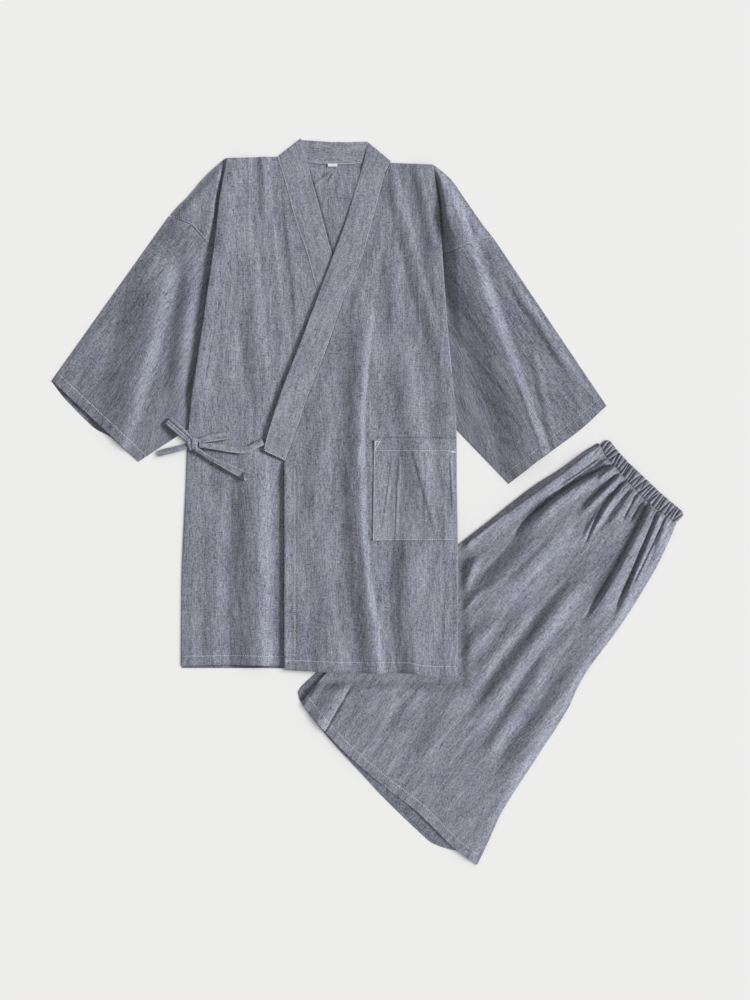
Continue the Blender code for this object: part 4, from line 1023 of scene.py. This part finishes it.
# shorts, in their own frame: u across the waist, v down the leg
legHem = table(
    "u v", (-153, 617.5), (-87, 626.5), (-35, 628.3), (22, 625.7), (104, 618.3), (170, 620.2), (220, 615),
)
underSide = table("v peek", (0, -3.2), (480, -3.2), (560, 9), (600, 13), (640, 14))
underHem = table(
    "u v", (-166, 607.5), (-152, 617.2), (-67, 630.7), (1, 634.9), (64, 639), (118, 639.4), (143, 639.2),
    (159, 634.6), (176, 625.8), (193, 616), (222, 608),
)
legFolds = foldTable(
    # gathers that start at the waistband
    (-86, 14, -131, 250, 3, 6, 18, 6.5, 1, 0),
    (-66, 14, -102, 180, 2, 2.5, 3.5, -1.8, 1, 0),
    (-42, 16, -78, 215, -13, 9, 16, 7, 1, 0),
    (-47, 14, -87, 215, -14, 5, 5, -7, 1, 0),
    (-44, 14, -52, 60, 0, 5, 6, 3.5, 1, 0),
    (-30, 14, -33, 120, 0, 9, 9, 5.5, 1, 0),
    (-35, 14, -38, 105, 0, 4, 4, -6, 1, 0),
    (-21, 14, -24, 60, 0, 4, 4, 2.5, 1, 0),
    (-14, 14, 2, 150, -6, 8, 12, 6, 1, 0),
    (-19, 14, 8, 150, -9, 4.5, 4.5, -7, 1, 0),
    (-1, 14, 12, 100, 0, 8, 16, 5, 1, 0),
    (12, 14, 15, 44, 0, 4, 4, 2.5, 1, 0),
    (27, 14, 84, 235, 5, 5, 6, -8.5, 1, 0),
    (35, 14, 90, 235, 5, 12, 26, 8.5, 1, 0),
    (46, 14, 112, 190, 0, 4.5, 5, -7.5, 1, 0),
    (52, 14, 122, 200, 0, 10, 14, 7, 1, 0),
    (66, 14, 92, 80, 0, 6, 7, 4.5, 1, 0),
    (20, 14, 30, 70, 0, 3, 4, -4.5, 1, 0),
    (62, 14, 104, 150, 0, 3, 3, -3.5, 1, 0),
    (3, 14, 22, 80, 0, 3, 4, -4, 1, 0),
    (-70, 14, -92, 110, 0, 3, 4, -3, 1, 0),
    (82, 12, 104, 96, 0, 5, 7, 4.5, 1, 0),
    # long folds further down
    (-58, 100, -52, 340, 0, 30, 60, 10, 0, 0),
    (-33, 120, -31, 300, 0, 16, 14, 3, 0, 0),
    (32, 140, 74, 490, -2, 22, 21, 8.5, 0, 0),
    (8, 250, 24, 420, 0, 26, 14, 5, 0, 0),
    (-18, 290, -14, 440, 0, 20, 24, 4, 0, 0),
    (76, 270, 124, 520, 0, 18, 16, 5, 0, 0),
    (118, 240, 172, 540, 0, 24, 24, 5.5, 0, 0),
    (6, 400, 52, 580, 0, 26, 26, 3.5, 0, 0),
    (-108, 262, -84, 330, 0, 9, 12, 6, 0, 0),
    (-128, 150, -134, 290, 0, 10, 14, 6, 0, 0),
    (-66, 290, -64, 352, 0, 6, 8, 2.5, 0, 0),
    (-130, 515, -103, 640, 0, 26, 16, 4.6, 0, 1),
    (-114, 530, -87, 640, 0, 3, 3, -2.5, 0, 1),
    (-148, 470, -144, 540, 0, 14, 12, 3, 0, 0),
    (-40, 500, -22, 565, 0, 14, 14, -3, 0, 0),
)
bandEdges = table(
    "u free seam", (-84.5, -1, 11.5), (-78, -4, 13.5), (-64, -2, 17.9), (-41, 0, 19.5), (-17, 0.5, 22.5),
    (24, 0.5, 24.5), (48, 0, 23.5), (74, -1.5, 19.5), (84, -1, 18.5),
)
leg = {
    "columns": 200, "start": 22.6, "settled": 60.0, "hemStart": 534.0, "hemEnd": 640.0, "hemDepth": 14.0,
    "atSeam": 0.22, "wrinkle": (0.5, 14, 70), "crease": (0.45, 30, 140),
}
underLeg = {"columns": 50, "hemStart": 600.0, "sides": (1.4, 4.6), "back": 5.0}
waist = {
    "left": -84.5, "right": 83.9, "stations": 440, "gathers": 31, "middle": 4.9, "depth": 4.2,
    "round": 6.0, "corner": 0.5, "edge": 0.9, "lowest": 0.45,
}


def gatherPlaces():
    # unevenly spaced gathers, wide and shallow at the left end
    steps = np.random.default_rng(127).uniform(0.6, 1.4, waist["gathers"])
    steps[:3] *= (2.2, 1.8, 1.5)
    edges = np.concatenate([[0.0], np.cumsum(steps)]) / steps.sum()
    return waist["left"] + (waist["right"] - waist["left"]) * edges


def gatherHeight(u, v, wide=1.45):
    # rounded puffs with narrow grooves between them; each groove leans its own way
    edges = gatherPlaces()
    rng = np.random.default_rng(131)
    lean, depth = rng.uniform(-0.2, 0.26, len(edges)), rng.uniform(0.5, 1.3, len(edges))
    total = np.zeros(np.broadcast(u, v).shape)
    for edge, slant, deep in zip(edges, lean, depth):
        off = u - edge - slant * (v - 11.0)
        total = total - deep * np.exp(-np.abs(off / wide) ** 1.6)
    return total


def legPlace(u, v):
    # rows near the waist follow the band's seam, and rows near the foot the slant of the hem
    head, foot = soft(bandEdges, "seam", u) + layers["seam"], soft(legHem, "v", u)
    fromWaist = (v - leg["start"]) / (leg["settled"] - leg["start"])
    place = np.where(v < leg["settled"], head + (leg["settled"] - head) * fromWaist, v)
    share = (v - leg["hemStart"]) / (leg["hemEnd"] - leg["hemStart"])
    return np.where(v < leg["hemStart"], place, leg["hemStart"] + (foot - leg["hemStart"]) * share)


def legHeight(u, v):
    # middle of the cloth of the leg that shows
    x, y = shortsXY(u, v)
    clear = ease(3.0, 19.0, np.maximum(x - 141.0, -274.0 - y))
    full = 3.6 + 2.6 * (1 - ease(60.0, 300.0, v)) + 3.5 * ease(20.0, 46.0, v) * (1 - ease(110.0, 240.0, v))
    puckers = 2.6 * gatherHeight(u, np.minimum(v, 60.0), 1.9) * (1 - ease(20.0, 50.0, v))
    form = lifted(full + fineFolds(leg, u, v, 113, 119) + puckers + foldHeight(legFolds, u, v))
    side = ease(0.0, 4.5 + 5.5 * ease(45.0, 85.0, v), u - soft(legSides, "left", v))
    side = side * ease(0.0, 14.0, soft(legSides, "right", v) - u)
    atSeam = leg["atSeam"] + (1 - leg["atSeam"]) * ease(0.0, 8.0, v - soft(bandEdges, "seam", u))
    return legLevel["top"] + clear * side * atSeam * form


def shortsRing(upper, lower, low, high):
    # closes an upper and a lower layer round their two folded edges, and says how far round each point is
    bend, middle = (high - low) / 2, (low + high) / 2
    arc = np.radians(np.linspace(0, 180, 9)[1:-1])
    ends = [pointRow(edge[0] + side * bend * np.sin(arc), edge[1], middle + side * bend * np.cos(arc))
            for edge, side in ((upper[-1], 1), (lower[-1], -1))]
    ring = np.vstack([upper, ends[0], lower, ends[1], upper[:1]])
    spread = runLength(np.abs(np.diff(ring[:, 0])) + 0.01)
    return pointRow(*shortsXY(ring[:, 0], ring[:, 1]), ring[:, 2]), spread


def makeLeg():
    grid, flat = [], []
    foot = np.linspace(602, leg["hemEnd"], 20)
    for row in np.concatenate([np.arange(leg["start"], 130, 2.2), np.arange(131, 600, 5.0), foot]):
        left, right = soft(legSides, "left", row) + 2.4, soft(legSides, "right", row) - 2.4
        u, uLow = np.linspace(left, right, leg["columns"]), np.linspace(right, left, 40)
        v = legPlace(u, row)
        hem = hemRelief(soft(legHem, "v", u) - v, u, leg["hemDepth"], 121)
        upper = pointRow(u, v, legHeight(u, v) + hem)
        lower = pointRow(uLow, legPlace(uLow, row) - 0.8, legLevel["under"])
        ring, spread = shortsRing(upper, lower, legLevel["under"], legLevel["top"])
        grid.append(ring)
        flat.append(pointRow(spread - spread[leg["columns"] // 2], row))
    return makeCloth("shorts_upper_leg", grid, flat, layers["wall"], rim=0.3, tube=True)


def makeLowerLeg():
    # the leg underneath: pressed flat, it shows past the hem and the left side
    start, (leftIn, rightIn) = underLeg["hemStart"], underLeg["sides"]
    grid, flat = [], []
    for t in np.concatenate([np.linspace(0, 0.85, 36)[:-1], np.linspace(0.85, 1, 20)]):
        v = leg["start"] + t * (leg["hemEnd"] - leg["start"])
        left = soft(legSides, "left", v) - soft(underSide, "peek", v) + leftIn
        u = np.linspace(left, soft(legSides, "right", v) - rightIn, underLeg["columns"])
        end = (soft(underHem, "v", u) - start) * ease(0.93, 1.0, t)
        foot = v + 0 * u if v < start else start + end
        back = underLeg["back"] * ease(30, 90, u) * (1 - ease(140, 175, u)) * ease(0.95, 1.0, t)
        upper = pointRow(u, foot - back, legLevel["lower"])
        lower = pointRow(u, foot, legLevel["lowest"])[::-1]
        ring, spread = shortsRing(upper, lower, legLevel["lowest"], legLevel["lower"])
        grid.append(ring)
        flat.append(pointRow(spread, v))
    return makeCloth("shorts_lower_leg", grid, flat, layers["wall"], rim=0.3, tube=True)


legUpper = place(makeLeg(), finishes["shorts"], "shorts_cloth", "shorts_leg_upper")
# the lower leg's cloth is painted shade: the same chambray made darker where it lies in shadow
legLower = place(makeLowerLeg(), finishes["under"], "shorts_cloth", "shorts_layers")

# gathered waistband: two casings, one on the other, joined at the folded ends
casing = table(  # outline of the upper casing from the leg's side to the free edge
    "q v z", (0, 22, 0.9), (0.08, 21.6, 2.6), (0.18, 19, 4.1), (0.3, 15, 4.8), (0.5, 11, 5),
    (0.7, 7, 4.8), (0.84, 3, 4), (0.94, 0.5, 2.4), (1, 0, 0.9),
)


def makeWaistband():
    q = np.linspace(0, 1, 23)
    v, z = soft(casing, "v", q), soft(casing, "z", q)
    half = shortsPlace["band"] / 2
    body = np.sin(np.pi * np.clip(q, 0.04, 0.96)) ** 0.5
    grid, flat = [], []
    for at in np.linspace(waist["left"], waist["right"], waist["stations"]):
        fromEnd = min(at - waist["left"], waist["right"] - at)
        thick = math.sqrt(max(0.0, 1 - max(0.0, 1 - fromEnd / waist["round"]) ** 2))
        groove = waist["depth"] * gatherHeight(at, v) * body * min(1.0, fromEnd / 4)
        edge = waist["edge"] * gatherHeight(at + 0.6, v) * (1 - body)
        top, low = (pointRow(v - np.sign(half - v) * edge, waist["middle"] + side * thick * (z + deep * groove))
                    for side, deep in ((1, 1.0), (-1, 0.5)))
        ring = np.vstack([top, low[::-1], top[:1]])
        free, seam = soft(bandEdges, "free", at), soft(bandEdges, "seam", at)
        corner = waist["corner"] + (1 - waist["corner"]) * thick
        share = 0.5 + (ring[:, 0] / shortsPlace["band"] - 0.5) * corner
        x, y = shortsXY(at, free + (seam - free) * share)
        grid.append(pointRow(x, y, np.maximum(ring[:, 1], waist["lowest"])))
        flat.append(pointRow(at * 1.5, np.arange(len(ring)) * 0.9))
    return makeCloth("shorts_gathered_waist", grid, flat, layers["wall"] * 0.6, tube=True)


waistband = place(makeWaistband(), finishes["waist"], "shorts_cloth", "shorts_waistband")
print("shorts laid")

# stitching: one modelled stitch, copied along each seam and hem and laid on the cloth
stitch = {"long": 2.5, "thick": 0.8, "pitch": 3.3, "sink": 0.02, "tack": 1.5, "tackBold": 1.4, "hidden": 0.4}


def modelStitch():
    bpy.ops.object.select_all(action="DESELECT")
    bpy.ops.mesh.primitive_uv_sphere_add(segments=6, ring_count=5, radius=0.5)
    bpy.ops.object.mode_set(mode="EDIT")
    bpy.ops.mesh.select_all(action="SELECT")
    bpy.ops.transform.resize(value=(stitch["thick"] * mm, stitch["thick"] * mm, stitch["long"] * mm))
    bpy.ops.transform.rotate(value=math.radians(90), orient_axis="Y", center_override=(0, 0, 0))
    bpy.ops.object.mode_set(mode="OBJECT")
    bpy.ops.object.shade_smooth()
    return bpy.context.object


oneStitch = modelStitch()
trees = {}


def topOf(piece, x, y):
    if piece.name not in trees:
        trees[piece.name] = BVHTree.FromObject(piece, bpy.context.evaluated_depsgraph_get())
    return trees[piece.name].ray_cast(Vector((x * mm, y * mm, 0.2)), Vector((0, 0, -1)))


def sew(line, cloth, under=(), pitch=stitch["pitch"], bold=1.0):
    # stitches along a line of places, on top of one piece, left out where another piece covers it
    line = np.array(line, float)
    length = runLength(np.hypot(*np.diff(line, axis=0).T))
    made = []
    for at in np.arange(pitch / 2, length[-1], pitch):
        (x, xNext), (y, yNext) = (np.interp((at, at + 0.5), length, line[:, i]) for i in range(2))
        spot, normal, _, _ = topOf(cloth, x, y)
        hidden = stitch["hidden"] * mm
        if spot is None or any((topOf(other, x, y)[0] or spot).z > spot.z + hidden for other in under):
            continue
        ahead = Vector((xNext - x, yNext - y, 0.0)).normalized()
        side = normal.cross(ahead).normalized()
        ahead = side.cross(normal)
        spot = spot - normal * stitch["sink"] * mm
        turned = Matrix((ahead, side * bold, normal * bold)).transposed().to_4x4()
        copy = oneStitch.copy()
        copy.data = oneStitch.data.copy()
        copy.data.transform(Matrix.Translation(spot) @ turned)
        bpy.context.collection.objects.link(copy)
        made.append(copy)
    return made


def tack(line, cloth):
    # a short row of close, bold stitches
    return sew(line, cloth, pitch=stitch["tack"], bold=stitch["tackBold"])


def inwards(x, y, farX, farY, inset):
    # a line moved by its inset towards another one
    share = inset / np.hypot(farX - x, farY - y)
    return pointRow(x + (farX - x) * share, y + (farY - y) * share)


def edgeLine(tab, near, far, inset, start=0.0, end=1.0, count=120):
    # a line a little inside one edge of a collar band
    t = np.linspace(start, end, count)
    return inwards(*(soft(tab, name, t) for name in (near + "X", near + "Y", far + "X", far + "Y")), inset)


def hemLine(side, start, end):
    x = np.linspace(start, end, 60)
    return pointRow(x, warped(side, x, hemY + fronts["hemDepth"]))


def armholeLine(side, end):
    # on the shoulder's cap, just above the seam that joins the sleeve to it
    armX, armY, _, _ = sleeveEnds(side, np.linspace(0.01, end, 40))
    return pointRow(armX - sides[side][0] * 1.2, armY + 2.0)


def cuffLine(side):
    armX, armY, x, y = sleeveEnds(side, np.linspace(0.015, 0.985, 80))
    return inwards(x, y, armX, armY, sleeves["hemDepth"])


def legHemLine():
    u = np.linspace(-150.0, 214.0, 90)
    return pointRow(*shortsXY(u, soft(legHem, "v", u) - leg["hemDepth"]))


def tieEdgeLine(name, start, end, across=-0.78):
    t = np.linspace(start, end, 40)
    x, y, wide = (soft(tieRoutes[name], column, t) for column in ("x", "y", "wide"))
    aheadX, aheadY = np.gradient(x), np.gradient(y)
    out = np.where(aheadX > 0, 1, -1) * across * wide / 2
    length = np.hypot(aheadX, aheadY)
    return pointRow(x - aheadY / length * out, y + aheadX / length * out)


right, left = collarSeams["right"], collarSeams["left"]
endX, endY = left["freeX"][-1], left["freeY"][-1]
(pocketLeft, pocketFoot), (pocketRight, pocketEnd) = pocket["left"], pocket["right"]
sewn = sew(hemLine("right", -286, -131), frontRight, under=(frontLeft,))
sewn += sew(hemLine("left", -127, 136), frontLeft)
sewn += sew([(-112.5, -238), (-112.5, 50)], frontLeft)
sewn += tack([(-127.5, -247.5), (-122.5, -246.5)], frontLeft)
sewn += sew([(135.6, -240), (135.6, -262)], frontLeft)
sewn += sew(armholeLine("right", 0.255), frontRight, bold=0.75)
sewn += sew(armholeLine("left", 0.235), frontLeft, bold=0.75)
sewn += sew(cuffLine("right"), sleeveRight) + sew(cuffLine("left"), sleeveLeft)
sewn += sew(edgeLine(right, "seam", "free", 1.6, 0.0, 0.62), collarRight, (collarLeft, frontLeft), bold=0.7)
sewn += sew(edgeLine(left, "seam", "free", 1.6), collarLeft, bold=0.7)
sewn += sew(edgeLine(left, "free", "seam", 1.4, 0.9, 0.99), collarLeft)
sewn += sew([(endX + 1.6, endY + 0.8), (left["seamX"][-1] - 0.8, left["seamY"][-1] + 1.8)], collarLeft)
sewn += sew([(x, 525.0 - 2.2 * math.sin(math.pi * (x + 91) / 84)) for x in range(-90, -8, 4)], collarBack)
sewn += sew([(pocketLeft + 1.6, 93), (pocketFoot + 1.6, -59)], patch)
sewn += sew([(pocketFoot + 1.5, -59.2), (pocketEnd - 1, -59.2)], patch)
sewn += sew([(pocketLeft + 2, 78.7), (pocketRight - 2, 78.7)], patch)
sewn += tack([(11.4, 80.0), (11.8, 93.0), (19.0, 92.4), (11.6, 79.8)], patch)
sewn += tack([(130.2, 75.8), (136.4, 76.4), (130.2, 77.2), (136.4, 78.0)], patch)
for name, start, end in (("strap", 0.02, 0.9), ("tail_upper", 0.15, 0.97), ("tail_lower", 0.45, 0.84)):
    sewn += sew(tieEdgeLine(name, start, end), ties[name])
for x in (label["left"] + 0.8, label["left"] + label["wide"] - 0.8):
    sewn += sew([(x, label["low"] + 0.6), (x, label["low"] + label["high"] - 0.4)], neckLabel, pitch=1.4)
jacketStitching = joinPieces(sewn)
jacketStitching.name = "jacket_stitching"
sewn = sew(legHemLine(), legUpper, under=(frontLeft,)) + tack([(150.4, -541.2), (154.8, -542.6)], legUpper)
sewn += tack([shortsXY(84.5, 12.0), shortsXY(85.0, 20.0)], waistband)
shortsStitching = joinPieces(sewn)
shortsStitching.name = "shorts_stitching"
bpy.data.objects.remove(oneStitch)
for threads in (jacketStitching, shortsStitching):
    place(threads, finishes["thread"], "white_cotton")
print("stitching sewn:", len(jacketStitching.data.polygons) + len(shortsStitching.data.polygons), "faces")

# the shorts and the floor have lamps of their own, and the jacket's lamp leaves them out
apart = {"shorts": (legUpper, legLower, waistband, shortsStitching), "floor": (floor,)}
for lit, lamp in lamps.items():
    lamp.light_linking.receiver_collection = bpy.data.collections.new("lit_" + lit)
    for piece in apart.get(lit, apart["shorts"] + apart["floor"]):
        lamp.light_linking.receiver_collection.objects.link(piece)
for entry in lamps["jacket"].light_linking.receiver_collection.collection_objects:
    entry.light_linking.link_state = "EXCLUDE"
